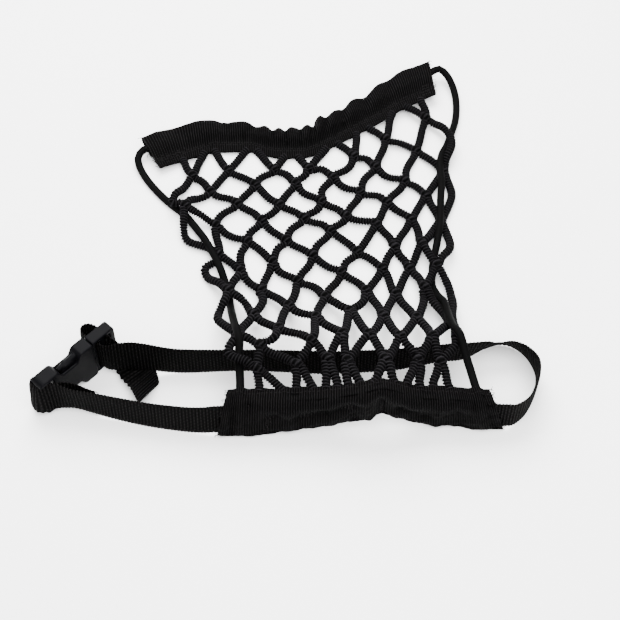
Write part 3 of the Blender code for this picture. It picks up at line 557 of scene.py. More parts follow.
elasticCord = {
    "diameter": 5.2,
    "squeezed": 0.72,           # share of the thickness left where the gathered ribbon holds it
    "step": 4.0,
    "channelStep": 2.0, "channelNear": 2.5,     # a point this near the channel's line is squeezed
    "sewnIn": (-45.0, 108.9),   # x at the bottom binding's fold, left and right
    "sewnDepth": 4.0,           # distance from the seam at which an end stops
    "left": (
        (-42.3, -77.0, 26.0), (-42.7, -68.0, 26.2), (-43.2, -60.5, 26.8), (-43.7, -53.0, 29.6),
        (-43.2, -46.5, 34.0), (-45.2, -38.0, 33.4), (-47.4, -28.0, 26.0), (-49.2, -17.0, 17.2),
        (-51.2, -4.0, 7.2), (-53.1, 8.0, 4.4), (-55.6, 18.5, 3.6), (-59.4, 29.5, 6.4),
        (-65.2, 42.5, 7.0), (-70.8, 53.5, 6.8), (-78.0, 66.4, 3.6), (-85.8, 77.8, 2.5),
        (-94.9, 86.2, 2.5), (-103.7, 95.8, 2.5), (-112.6, 107.6, 2.5), (-118.9, 118.6, 3.6),
        (-120.9, 126.0, 5.2), (-119.2, 130.8, 6.4)),
    "right": (
        (94.6, 209.6, 9.6), (100.6, 204.2, 8.0), (104.9, 193.3, 5.2), (106.2, 180.3, 3.2),
        (104.8, 165.6, 2.5), (101.2, 153.0, 2.5), (97.2, 141.0, 2.5), (92.8, 130.0, 5.2),
        (90.6, 117.0, 7.0), (91.2, 104.0, 6.9), (89.8, 91.0, 6.6), (88.9, 78.0, 6.9),
        (87.8, 65.0, 6.9), (85.4, 52.0, 4.6), (82.6, 40.0, 2.5), (81.0, 28.0, 2.5),
        (80.4, 18.0, 2.5), (83.6, 8.0, 4.8), (86.2, -3.0, 13.6), (87.2, -14.0, 18.4),
        (88.0, -24.0, 23.8), (89.4, -34.0, 30.2), (92.2, -43.0, 35.6), (95.4, -55.0, 30.4),
        (98.6, -66.0, 26.4), (100.6, -75.8, 26.0)),
    # stretches that the net passes over: side, first and last y
    "covered": (("left", 94.0, 70.0), ("left", 17.0, 0.0), ("left", -56.0, -68.0),
                ("right", 152.0, 134.0), ("right", 46.0, 14.0)),
}


def channelLine():
    line = []
    for row in topStations:
        edge, toFold, _ = topStation(row)
        line.append(tuple(edge + toFold * (topRibbon["flange"] + row[6] / 2)))
    return line


def sewnEnd(x, p):
    _, _, seam, back = footStation(rowAtX(footStations, x))
    return tuple(seam + back * p["sewnDepth"])


def makeElastic(p):
    first, last = (sewnEnd(x, p) for x in p["sewnIn"])
    route = resample([first] + list(p["left"]) + channelLine() + list(p["right"]) + [last], p["step"], 3)
    channel = [Vector(q) for q in resample(channelLine(), p["channelStep"], 3)][4:-4]
    curve = lineCurve("elasticCord", [[layoutPoint(*q) for q in route]], p["diameter"] / 2, 6)
    spline = curve.splines[0]
    for point, where in zip(spline.points, route):
        inChannel = min((Vector(where) - q).length for q in channel) < p["channelNear"]
        point.radius = p["squeezed"] if inChannel else 1.0
    spline.use_smooth = True
    curve.materials.append(elasticSleeve)
    piece = addObject("elasticCord", curve)
    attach(piece, "root")
    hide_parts("elastic_cord")


makeElastic(elasticCord)

netCords = {
    "radius": 2.64,
    "ridgePitch": 1.85,
    "ridgeDepth": 1.25,
    "ridgeDraw": 0.55,      # least share of the ridges that such a strand keeps, see ridgeCounts
    "sides": 9,
    "portAlong": 2.5,       # from a knot's centre to where its four strands part
    "portAside": 1.7,
    "portTurn": 0.75,       # share by which a strand turns from the knot's way to its own
    "strandPull": 0.8,
    "bendPull": 1.0,        # the same where a strand turns back at the net's edge
    "bendTurn": 0.1,        # as portTurn, at such a bend
    "shortSpan": 8.0,       # a span under this has no turn and no bow of its own
    "pointStep": 0.8, "cordStep": 1.0, "thinEnds": 3,
    # for every knot, how far the strand that leaves it to the right, and to the left, bows to its own left
    "bowRight": ((2.0, 0.8, 2.2, 3.8, 3.0, 1.0, 0), (0, 0.3, -1.5, -2.9, -3.3, -3.0, 0, 0),
                 (-0.2, 0.5, 0.3, 1.2, 1.6, 1.5, 0), (0, -2.8, -1.4, 1.6, -0.6, -0.7, 0, 0),
                 (0, 0.3, 0, 0.3, 0, 1.0, 0), (0, -1.5, -2.3, -1.4, 1.4, 0, 0, 0),
                 (1.8, 1.2, 2.2, 1.3, 0.5, 0.5, 0), (0, -1.4, -2.4, 0, 0.8, 0, 0, 0),
                 (0, 0.8, -1.8, -0.5, 0, 1.0, 0), (0, 0, 0, 0, 0, 0, 0, 0), (0, 0, 0, 0, 0, 0, 0)),
    "bowLeft": ((0, 0, -1.6, 0.8, 3.2, 0, 0), (0, -2.0, 0, -0.8, -3.3, -2.8, -1.7, 0),
                (0, -1.5, 0.5, 1.0, 0, 0.5, 0), (0, 0, -1.5, -1.9, 0, 0, -0.5, 0),
                (0, -3.2, -2.2, -1.6, 0, 0.6, 0), (0, 0, 0, 0, -1.7, -1.2, 0, 0),
                (0, 2.6, 1.5, 0, 0, 0, 0), (0, 0, -0.8, -1.0, 2.2, 0, 0.8, 0),
                (0, 3.8, 0, 0, 0, 0, 0), (0, 0, 0, 0, 0, 0, 0, 0), (0, 0, 0, 0, 0, 0, 0)),
    "unevenness": 0.5,
    "seed": 8,
    "overLift": 2.0,        # one cord's rise over the other where they cross
    "portLift": 0.25,       # share of that rise where the strands part
    "tuckIn": 2.0,          # how far an end reaches into its binding
    "courses": (
        # knots from the top binding down: across and along; a bent course starts and ends at edge bends
        ("full", (-82, -57, -25, -1, 31, 54, 83), (112, 117, 118, 119, 130, 145, 164)),
        ("bent", (-94, -69, -38, -10, 16, 46, 75, 100), (84, 98, 104, 105, 111, 120, 135, 142)),
        ("full", (-85, -50, -21, 8, 35, 66, 93), (81, 87, 86, 89, 97, 107, 116)),
        ("bent", (-85, -64, -33, -4, 25, 53, 80, 98), (61, 68, 72, 74, 76, 88, 94, 95)),
        ("full", (-61, -42, -16, 14, 45, 69, 89), (43, 54, 55, 63, 69, 73, 72)),
        ("bent", (-70, -46, -25, 2, 32, 57, 75, 94), (30, 29, 37, 42, 45, 49, 50, 50)),
        ("full", (-53, -32, -8, 21, 48, 66, 84), (8, 13, 21, 28, 31, 31, 30)),
        ("bent", (-59, -36, -14, 10, 37, 56, 75, 92), (-17, -13, -3, 6, 12, 9, 12, 7)),
        ("full", (-45, -20, 4, 26, 47, 68, 89), (-37, -30, -16, -9, -15, -17, -22)),
        ("bent", (-50, -31, 1, 20, 37, 56, 76, 90), (-53, -48, -44, -36, -37, -40, -39, -44)),
        ("full", (-32, -8, 11, 23, 46, 66, 80), (-65, -61, -58, -60, -61, -58, -59)),
    ),
    "topEnds": (-90, -74, -68, -44, -38, -17, -9, 12, 19, 33, 41, 60, 68, 80),
    "footEnds": (-32, -16, -9, 2, 9, 16, 23, 31, 38, 52, 60, 69, 77, 88),
    "onGround": 2.9, "overBelt": 29.6, "beltBackY": -42.0, "rampLength": 62.0, "rampPower": 1.5,
    "topRampLength": 42.0, "hopHeight": 5.0, "hopNear": 4.0, "hopFar": 17.0,
}


def coveredLines(p):
    lines = []
    for side, first, last in elasticCord["covered"]:
        route = resample(elasticCord[side], 3.0, 3)
        lines.append([Vector(q[:2]) for q in route if last <= q[1] <= first])
    return lines


coveredByNet = coveredLines(elasticCord)


def netHeight(x, y, p):
    here = Vector((x, y))
    gap = min((here - q).length for line in coveredByNet for q in line)
    hop = p["hopHeight"] * (1 - soft((gap - p["hopNear"]) / (p["hopFar"] - p["hopNear"])))
    if y < p["beltBackY"]:
        _, _, seam, back = footStation(rowAtX(footStations, x))
        edge = seam + back * footRibbon["flange"]
        share = (p["beltBackY"] - y) / (p["beltBackY"] - edge.y)
        return p["overBelt"] + (edge.z - p["overBelt"]) * soft(share) + hop
    ramp = min(max(1 - (y - p["beltBackY"]) / p["rampLength"], 0.0), 1.0)
    top = rowAtX(topStations, x)
    climb = soft(1 - (top[1] - y) / p["topRampLength"])
    height = p["onGround"] + (p["overBelt"] - p["onGround"]) * ramp ** p["rampPower"]
    return height + (top[3] - p["onGround"]) * climb + hop


def netNeighbours(p):
    # Plan points of the binding ends, and for every knot its centre, way down and way aside
    topEnds = [Vector(rowAtX(topStations, x)[:2]) for x in p["topEnds"]]
    footEnds = []
    for x in p["footEnds"]:
        _, _, seam, back = footStation(rowAtX(footStations, x))
        footEnds.append((seam + back * footRibbon["flange"]).to_2d())
    spots = [[Vector(q) for q in zip(across, along)] for _, across, along in p["courses"]]
    knots = {}
    for n, (kind, _, _) in enumerate(p["courses"]):
        shift = 0 if kind == "full" else -1
        first = 0 if kind == "full" else 1
        for k in range(first, len(spots[n]) - first):
            above = spots[n - 1][k + shift:k + shift + 2] if n else topEnds[2 * k:2 * k + 2]
            lastCourse = n == len(spots) - 1
            below = footEnds[2 * k:2 * k + 2] if lastCourse else spots[n + 1][k + shift:k + shift + 2]
            down = (below[0] + below[1] - above[0] - above[1]).normalized()
            knots[n, k] = (spots[n][k], down, Vector((-down.y, down.x)))
    return topEnds, footEnds, spots, knots


def bend(start, startWay, end, endWay, pull, count):
    # Points of a smooth curve that leaves and arrives in the given ways
    reach = (end - start).length * pull
    out = []
    for i in range(count):
        t = i / count
        h1 = 2 * t ** 3 - 3 * t ** 2 + 1
        h2 = t ** 3 - 2 * t ** 2 + t
        h3 = -2 * t ** 3 + 3 * t ** 2
        h4 = t ** 3 - t ** 2
        out.append(start * h1 + startWay * (reach * h2) + end * h3 + endWay * (reach * h4))
    return out


def cordStops(start, p, topEnds, footEnds, spots, knots):
    # Places that a cord passes, with its way there and its lift over the other cord
    hand = 1 if start % 2 == 0 else -1
    k = start // 2
    stops = [(topEnds[start] + Vector((0, p["tuckIn"])), None, 0.0, 0.0)]
    for n in range(len(spots)):
        if (n, k) in knots:
            centre, down, aside = knots[n, k]
            beside = aside * (p["portAside"] * hand)
            upper = centre - down * p["portAlong"] - beside
            lower = centre + down * p["portAlong"] + beside
            lift = p["overLift"] if hand > 0 else 0.0
            bow = p["bowRight" if hand > 0 else "bowLeft"][n][k]
            portLift = lift * p["portLift"]
            stops += [(upper, down, portLift, 0.0), (centre, (lower - upper).normalized(), lift, 0.0),
                      (lower, down, portLift, bow)]
        else:
            stops.append((spots[n][k], Vector((0, -1)), 0.0, 0.0))
            hand = -hand
        if n < len(spots) - 1:
            if p["courses"][n][0] == "full":
                k += 1 if hand > 0 else 0
            else:
                k -= 1 if hand < 0 else 0
    end = footEnds[2 * k + (1 if hand > 0 else 0)]
    stops.append((end - Vector((0, p["tuckIn"])), None, 0.0, 0.0))
    return stops


def cordRoutes(p):
    # Each cord runs in diagonals from the top binding to the bottom one and turns back at the edges
    topEnds, footEnds, spots, knots = netNeighbours(p)
    rng = random.Random(p["seed"])
    routes = []
    for start in range(len(topEnds)):
        stops = cordStops(start, p, topEnds, footEnds, spots, knots)
        ways = []
        for i, (_, way, _, _) in enumerate(stops):
            straight = (stops[min(i + 1, len(stops) - 1)][0] - stops[max(i - 1, 0)][0]).normalized()
            ways.append(straight if way is None else way)
        bends = [way == Vector((0, -1)) for _, way, _, _ in stops]
        route = []
        for i in range(len(stops) - 1):
            (here, _, lift, bow), (there, _, nextLift, _) = stops[i], stops[i + 1]
            way = (there - here).normalized()
            span = (there - here).length
            turn = p["portTurn"] if span > p["shortSpan"] else 0.0
            leaveTurn = p["bendTurn"] if bends[i] else turn
            arriveTurn = p["bendTurn"] if bends[i + 1] else turn
            leave = (ways[i] * (1 - leaveTurn) + way * leaveTurn).normalized()
            arrive = (ways[i + 1] * (1 - arriveTurn) + way * arriveTurn).normalized()
            count = max(4, int(span / p["pointStep"]))
            sway = 0.0
            if span > p["shortSpan"]:
                bow += rng.uniform(-1.0, 1.0) * p["unevenness"]
                sway = rng.uniform(-1.0, 1.0) * p["unevenness"]
            pull = p["bendPull"] if bends[i] or bends[i + 1] else p["strandPull"]
            for j, spot in enumerate(bend(here, leave, there, arrive, pull, count)):
                swing = bow * math.sin(math.pi * j / count) + sway * math.sin(2 * math.pi * j / count)
                spot = spot + Vector((-way.y, way.x)) * swing
                route.append((*spot, lift + (nextLift - lift) * soft(j / count)))
        route.append((*stops[-1][0], 0.0))
        fine = resample(route[::2] + [route[-1]], p["cordStep"], 2, 3)
        routes.append([layoutPoint(x, y, netHeight(x, y, p) + lift) for x, y, lift in fine])
    return routes


def ridgedCordTree(stepsPerRidge=4.0, level=0.6):
    # Tube along each path whose surface rises in an oblique ridge, as in a crocheted chain
    tree, given, out = newTree("ridgedCord", (
        ("Cord radius", "NodeSocketFloat", 0.002), ("Ridge pitch", "NodeSocketFloat", 0.0016),
        ("Ridge depth", "NodeSocketFloat", 0.0005), ("Sides", "NodeSocketInt", 10)))

    def calc(operation, first, second=None):
        return mathNode(tree, operation, first, second)

    def keep(geometry, name, value):
        return treeNode(tree, "GeometryNodeStoreNamedAttribute",
                        {"Geometry": geometry, "Name": name, "Value": value},
                        data_type="FLOAT", domain="POINT").outputs[0]

    def read(name):
        node = treeNode(tree, "GeometryNodeInputNamedAttribute", {"Name": name}, data_type="FLOAT")
        return node.outputs["Attribute"]

    even = treeNode(tree, "GeometryNodeResampleCurve", {
        "Curve": given.outputs["Geometry"],
        "Length": calc("DIVIDE", given.outputs["Ridge pitch"], stepsPerRidge)}, mode="LENGTH")
    counted = keep(even.outputs[0], "cordRun", read("tilt"))    # the paths' tilt counts their ridges
    straight = treeNode(tree, "GeometryNodeSetCurveTilt", {"Curve": counted})
    ring = treeNode(tree, "GeometryNodeCurvePrimitiveCircle", {
        "Resolution": given.outputs["Sides"], "Radius": given.outputs["Cord radius"]})
    around = treeNode(tree, "GeometryNodeSplineParameter", {})
    profile = keep(ring.outputs["Curve"], "cordTurn", around.outputs["Factor"])
    tube = treeNode(tree, "GeometryNodeCurveToMesh", {
        "Curve": straight.outputs[0], "Profile Curve": profile, "Fill Caps": True})
    turns = calc("ADD", read("cordRun"), read("cordTurn"))
    ridge = waveNode(tree, calc("MULTIPLY", turns, 2 * math.pi))
    # the stored ridge height is the mask for the yarn's painted highlight and painted shade
    marked = keep(tube.outputs[0], "ridgeHeight", ridge)
    rise = calc("MULTIPLY", calc("SUBTRACT", ridge, level), given.outputs["Ridge depth"])
    normal = treeNode(tree, "GeometryNodeInputNormal", {})
    push = treeNode(tree, "ShaderNodeVectorMath", {0: normal.outputs[0]}, operation="SCALE")
    tree.links.new(rise, push.inputs["Scale"])
    ridged = treeNode(tree, "GeometryNodeSetPosition", {"Geometry": marked, "Offset": push.outputs[0]})
    closeTree(tree, out, ridged.outputs[0], crochetYarn)
    return tree


def ridgeCounts(route, p):
    # Ridges lie further apart where a strand runs along the photo's line of sight, so that they show
    tilt = math.radians(cameraSetup["elevation"])
    sight = Vector((0, math.cos(tilt), -math.sin(tilt)))
    counts = [0.0]
    for a, b in zip(route, route[1:]):
        across = math.sqrt(max(0.0, 1 - (b - a).normalized().dot(sight) ** 2))
        counts.append(counts[-1] + (b - a).length * max(across, p["ridgeDraw"]) / (p["ridgePitch"] * mm))
    return counts


def makeNet(p):
    routes = cordRoutes(p)
    paths = pathObject("netPaths", routes, p["thinEnds"], [ridgeCounts(route, p) for route in routes])
    values = {"Cord radius": p["radius"] * mm, "Ridge pitch": p["ridgePitch"] * mm,
              "Ridge depth": p["ridgeDepth"] * mm, "Sides": p["sides"]}
    piece = runTree(paths, ridgedCordTree(), values, "netCords", crochetYarn)
    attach(piece, "root")
    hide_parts("net")
    run = sum((a - b).length for route in routes for a, b in zip(route, route[1:]))
    print("net", len(piece.data.polygons), "faces,", round(run, 2), "m of cord")


makeNet(netCords)


ribbonMake = {
    "flangeSteps": 11, "channelSteps": 36,
    "roundOver": 5.0,       # distance over which the flange turns into the channel
    "crowding": 0.85,       # how far the channel's points crowd towards the seam
    "flatAlong": 0.55, "flatAcross": 0.42,      # powers under 1 that make the channel's round boxier
    "mouth": 0.42, "innerMouth": 0.55,          # share of the puff left at the seam
    "mouthLength": 0.30,    # share of the channel over which it grows to full
    "easing": 5,            # rounds of smoothing across the seam
    # smoothing rounds and full depth of the painted shade in the folds
    "foldShadeRounds": 2, "foldShadeFull": 0.13,
}
# Strand ends between the flange's two layers: half width, rise, how far from the seam it starts and fades
sewnStrands = {"halfWidth": 2.4, "rise": 0.9, "from": 5.0, "fade": 4.0}


def partedLayers(d, x, ends, p):
    bunch = sum(bell(x - end, p["halfWidth"]) for end in ends)
    return p["rise"] * bunch * soft(-(d + p["from"]) / p["fade"])


def lengthsAlong(points):
    lengths = [0.0]
    for a, b in zip(points, points[1:]):
        lengths.append(lengths[-1] + (b - a).length)
    return lengths + [lengths[-1] + 1.0]


def paintFoldShade(mesh, rounds, full):
    # How far each point lies below those around it, as a share of full: painted shade that darkens the cloth in
    # its folds
    near = [[] for _ in mesh.vertices]
    for edge in mesh.edges:
        a, b = edge.vertices
        near[a].append(b)
        near[b].append(a)
    sink = []
    for point in mesh.vertices:
        around = sum((mesh.vertices[k].co for k in near[point.index]), Vector()) / len(near[point.index])
        sink.append((around - point.co).dot(point.normal) / full)
    for _ in range(rounds):
        sink = [(value + sum(sink[k] for k in ks)) / (1 + len(ks)) for value, ks in zip(sink, near)]
    marks = mesh.attributes.new("foldShade", "FLOAT", "POINT")
    marks.data.foreach_set("value", [min(max(value, 0.0), 1.0) for value in sink])


def ribbonShape(name, sections, runs, material):
    # sections: (flange points on the face, channel points round the fold, flange points on the
    # back, channel points inside), all from the same counts, so the channel stays open at both ends
    points, faces, uv = [], [], []
    flangeCount = len(sections[0][0])
    channelCount = len(sections[0][1])
    ringCount = 2 * flangeCount + channelCount + 1
    per = ringCount + channelCount
    across = []
    for front, channel, backSide, inside in sections:
        tip = (front[0] + backSide[0]) / 2 + (front[1] - front[0]) * 0.25
        ring = [tip] + list(front) + list(channel) + list(reversed(backSide))
        points += [tuple(q) for q in ring] + [tuple(q) for q in inside]
        across.append((lengthsAlong(ring), lengthsAlong(inside)))
    for k in range(len(sections) - 1):
        here, there = k * per, (k + 1) * per
        for base, count, which in ((0, ringCount, 0), (ringCount, channelCount, 1)):
            for i in range(count):
                j = (i + 1) % count
                faces.append((here + base + i, here + base + j, there + base + j, there + base + i))
                a, b = across[k][which], across[k + 1][which]
                u0, u1 = runs[k] / 10, runs[k + 1] / 10
                uv.append(((u0, a[i] / 10), (u0, a[i + 1] / 10), (u1, b[i + 1] / 10), (u1, b[i] / 10)))

    def cap(corners):
        faces.append(corners)
        uv.append(tuple((0.0, 0.0) for _ in corners))

    for end in (0, (len(sections) - 1) * per):
        front = [end + 1 + i for i in range(flangeCount)]
        channel = [end + 1 + flangeCount + i for i in range(channelCount)]
        backSide = [end + ringCount - 1 - i for i in range(flangeCount)]
        inner = [end + ringCount + i for i in range(channelCount)]
        cap((end, front[0], backSide[0]))
        for i in range(flangeCount - 1):
            cap((front[i], front[i + 1], backSide[i + 1], backSide[i]))
        cap((front[-1], inner[0], inner[-1], backSide[-1]))
        cap((front[-1], channel[0], inner[0]))
        cap((backSide[-1], inner[-1], channel[-1]))
        for i in range(channelCount - 1):
            cap((channel[i], channel[i + 1], inner[i + 1], inner[i]))
    piece = addMesh(name, points, faces, material, uv)
    # painted shade in the cloth's folds, kept as a point attribute
    paintFoldShade(piece.data, ribbonMake["foldShadeRounds"], ribbonMake["foldShadeFull"] * mm)
    return piece


def foldRelief(folds, x, d):
    # Sum of soft ridges and troughs, each given as a short line in x and d
    total = 0.0
    for x0, d0, x1, d1, rise, width in folds:
        ax, ad = x1 - x0, d1 - d0
        share = ((x - x0) * ax + (d - d0) * ad) / (ax * ax + ad * ad)
        share = min(max(share, 0.0), 1.0)
        gap = math.hypot(x - x0 - ax * share, d - d0 - ad * share)
        if gap < 2.6 * width:
            total += rise * bell(gap, width)
    return total


def ribbonSection(seam, flangeWay, flangeFace, channelWay, channelFace, sizes, relief, spread):
    # One section. d is the distance in mm from the seam, below 0 on the flange. relief(d) lifts the
    # cloth off its plain shape, and spread(d) parts the flange's two layers round what is sewn in
    half = sizes["flangeThickness"] / 2
    flangeSteps, channelSteps = ribbonMake["flangeSteps"], ribbonMake["channelSteps"]
    roundOver = ribbonMake["roundOver"]
    depth, puff, wall = sizes["channel"], sizes["halfPuff"], sizes["wall"]
    mouth, innerMouth = ribbonMake["mouth"], ribbonMake["innerMouth"]
    front, backSide, channel, inside = [], [], [], []
    for i in range(flangeSteps):
        v = i / (flangeSteps - 1)
        d = -sizes["flange"] * (1 - v)
        centre = seam - flangeWay * d
        turn = 0.5 * soft(1 + d / roundOver)
        face = (flangeFace * (1 - turn) + channelFace * turn).normalized()
        thin = half * (0.7 if i == 0 else 1.0) + spread(d)
        front.append(centre + face * (thin + relief(d)))
        backSide.append(centre - face * (thin - relief(d)))
    for i in range(channelSteps):
        share = (i + 0.5) / channelSteps
        share -= ribbonMake["crowding"] * math.sin(2 * math.pi * share) / (2 * math.pi)
        turn = math.pi * share
        along = math.sin(turn) ** ribbonMake["flatAlong"]
        side = 1 if share < 0.5 else -1
        acrossShare = side * abs(math.cos(turn)) ** ribbonMake["flatAcross"]
        grown = soft(along / ribbonMake["mouthLength"])
        outPuff = acrossShare * puff * (mouth + (1 - mouth) * grown)
        d = along * depth
        bump = relief(d if side > 0 else 2 * depth - d)
        blend = 0.5 + 0.5 * soft(d / roundOver)
        face = (flangeFace * (1 - blend) + channelFace * blend).normalized() if side > 0 else channelFace
        channel.append(seam + channelWay * d + channelFace * outPuff + face * (side * bump))
        inner = wall + along * (depth - 2 * wall)
        innerPuff = acrossShare * (puff - wall) * (innerMouth + (1 - innerMouth) * grown)
        inside.append(seam + channelWay * inner + channelFace * (innerPuff + side * bump * 0.5))
    line = front + channel[:channelSteps // 2]
    for _ in range(ribbonMake["easing"]):
        for i in range(flangeSteps - 5, flangeSteps + 6):
            line[i] = line[i] * 0.5 + (line[i - 1] + line[i + 1]) * 0.25
    return line[:flangeSteps], line[flangeSteps:] + channel[channelSteps // 2:], backSide, inside


def stitchTree():
    # Short round stitches along a line, each lying in its way
    tree, given, out = newTree("stitchRow", (
        ("Stitch pitch", "NodeSocketFloat", 0.0025), ("Stitch length", "NodeSocketFloat", 0.0019),
        ("Thread radius", "NodeSocketFloat", 0.0003)))
    spots = treeNode(tree, "GeometryNodeCurveToPoints", {
        "Curve": given.outputs["Geometry"], "Length": given.outputs["Stitch pitch"]}, mode="LENGTH")
    ball = treeNode(tree, "GeometryNodeMeshUVSphere", {"Segments": 6, "Rings": 5, "Radius": 1.0})
    radius = given.outputs["Thread radius"]
    half = mathNode(tree, "MULTIPLY", given.outputs["Stitch length"], 0.5)
    size = treeNode(tree, "ShaderNodeCombineXYZ", {0: radius, 1: radius, 2: half})
    turn = treeNode(tree, "FunctionNodeAlignRotationToVector", {"Vector": spots.outputs["Tangent"]}, axis="Z")
    put = treeNode(tree, "GeometryNodeInstanceOnPoints", {
        "Points": spots.outputs["Points"], "Instance": ball.outputs["Mesh"],
        "Rotation": turn.outputs[0], "Scale": size.outputs[0]})
    closeTree(tree, out, put.outputs[0], sewingThread)
    return tree


stitchRow = stitchTree()


def sewStitches(name, lines, sizes):
    paths = pathObject(name + "Lines", [[layoutPoint(*q) for q in line] for line in lines])
    values = {"Stitch pitch": sizes["pitch"] * mm, "Stitch length": sizes["length"] * mm,
              "Thread radius": sizes["radius"] * mm}
    piece = runTree(paths, stitchRow, values, name, sewingThread)
    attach(piece, "root")
    print(name, len(piece.data.polygons), "faces")


def ribbonEnds(sections):
    ends = []
    for tip, near in ((sections[0], sections[3]), (sections[-1], sections[-4])):
        points = list(tip[0]) + list(tip[1][::2])
        ends.append((points, (tip[0][0] - near[0][0]).normalized()))
    return ends


def addFray(name, ends, p, material):
    # Loose fibres that stand out of a cut edge; ends are pairs of edge points and outward way
    rng = random.Random(p["seed"])
    fibres = []
    for points, way in ends:
        for _ in range(p["count"]):
            base = Vector(points[rng.randrange(len(points))])
            lean = Vector([rng.uniform(-1, 1) for _ in range(3)]) * p["spread"]
            reach = rng.uniform(*p["length"])
            tip = base + (way + lean).normalized() * reach
            tip.z = max(tip.z, 0.4)
            bow = base + way * (reach * 0.5)
            fibres.append([layoutPoint(*q) for q in (base - way * 0.5, bow, tip)])
    curve = lineCurve(name, fibres, p["radius"], 1)
    curve.materials.append(material)
    piece = addObject(name, curve)
    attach(piece, "root")


topBinding = {
    "step": 0.8, "wavePitch": 19.0, "wave": 0.35, "ripple": 0.22, "ripplePitch": 8.0,
    "lobe": {"from": 6.0, "ease": 2.4, "rise": 3.2, "fadeFrom": 12.0, "fade": 13.0},
    "seamAt": 4.2, "seamDepth": 0.8, "seamWidth": 1.3,      # groove that the stitches draw in
    "foldShare": 1.25, "foldsTo": 26.0,
    "stitchRows": (-5.0, -3.4), "stitch": {"pitch": 2.3, "length": 2.0, "radius": 0.34},
    # each fold: x and d where it starts, x and d where it ends, rise, half width
    "folds": (
        (-98, 15, -92, 1, 0.9, 4.0), (-88, 15, -82, 2, -0.9, 3.4), (-76, 14, -66, 2, 1.6, 7.0),
        (-59, 14, -55, 2, -1.6, 4.0), (-46, 14, -44, 3, 1.0, 4.5), (-37, 13, -46, 1, -1.4, 2.6),
        (-31, 13, -29, 3, 1.2, 3.0), (-26, 13, -25, 3, -1.2, 1.9), (-21, 13, -20, 4, 1.1, 2.2),
        (-16.5, 14, -15.5, 1, -1.5, 1.8), (-12, 14, -11, 3, 1.2, 2.4), (-5, 15, -5.5, 1, -1.5, 1.9),
        (0, 14, -1, 3, 1.1, 2.3), (7, 17, 3.5, 1, -3.0, 2.3), (12, 15, 9, 4, 2.0, 3.2),
        (18, 14, 14, 2, -1.2, 2.6), (25, 15, 20, 4, 1.9, 3.6), (33, 15, 28, 1, -1.6, 2.8),
        (40, 15, 36, 4, 1.5, 4.2), (49, 16, 45, 2, -1.4, 3.2), (57, 16, 53, 4, 1.4, 4.2),
        (66, 18, 62, 2, -1.2, 3.4), (75, 16, 73, 3, 1.2, 5.0)),
    "deepest": -1.7,        # the elastic inside holds the cloth up
    # zigzag bar tacks near the two ends: first and last x, nearest and furthest d, step
    "tacks": ((-102.0, -84.0, -8.6, -2.0, 1.7), (83.0, 89.5, -8.0, 1.5, 1.1)),
    "fray": {"seed": 4, "count": 34, "length": (0.8, 2.8), "spread": 0.8, "radius": 0.13},
}


def makeTopBinding(p):
    sections, runs = [], []
    rows = [[] for _ in p["stitchRows"]]
    places = []
    run, before = 0.0, None
    for row in resample(topStations, p["step"]):
        edge, toFold, face = topStation(row)
        run += math.dist(row[:2], before[:2]) if before else 0.0
        before = row
        x = row[0]
        pull = foldRelief(p["folds"], x, row[6] * 0.85)
        lobe = p["lobe"]
        grown = soft((x - lobe["from"]) / lobe["ease"]) * (1 - soft((x - lobe["fadeFrom"]) / lobe["fade"]))
        depth = row[6] + 0.3 * pull + lobe["rise"] * grown
        sizes = dict(topRibbon, channel=depth, halfPuff=topRibbon["halfPuff"] + 0.3 * row[5])
        seam = edge + toFold * topRibbon["flange"]
        wave = p["wave"] * unevenWave(run, p["wavePitch"], 3)

        def relief(d, x=x, wave=wave, run=run):
            folds = max(p["foldShare"] * foldRelief(p["folds"], x, d), p["deepest"])
            folds = folds if d < p["foldsTo"] else 0.0
            groove = -p["seamDepth"] * bell(d + p["seamAt"], p["seamWidth"])
            ripple = p["ripple"] * unevenWave(run + 3 * d, p["ripplePitch"], 11) * soft((d + 9) / 8)
            return folds + groove + ripple + wave * 0.5

        def spread(d, x=x):
            return partedLayers(d, x, netCords["topEnds"], sewnStrands)

        sections.append(ribbonSection(seam, -toFold, face, toFold, face, sizes, relief, spread))
        runs.append(run)
        places.append((x, seam, toFold, face, relief))
        for line, d in zip(rows, p["stitchRows"]):
            line.append(seam + toFold * d + face * (topRibbon["flangeThickness"] / 2 + 0.15 + relief(d)))
    piece = ribbonShape("topBindingRibbon", sections, runs, ribbedRibbon)
    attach(piece, "root")
    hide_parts("top_binding")
    print("top binding", round(runs[-1]), "mm long")
    for first, last, low, high, step in p["tacks"]:
        line = []
        for k in range(int((last - first) / step)):
            x = first + k * step
            _, seam, toFold, face, relief = min(places, key=lambda place: abs(place[0] - x))
            d = (low, high)[k % 2]
            line.append(seam + toFold * d + face * (topRibbon["flangeThickness"] / 2 + 0.2 + relief(d)))
        rows.append(line)
    sewStitches("topBindingStitches", rows, p["stitch"])
    addFray("topBindingFray", ribbonEnds(sections), p["fray"], sewingThread)


makeTopBinding(topBinding)

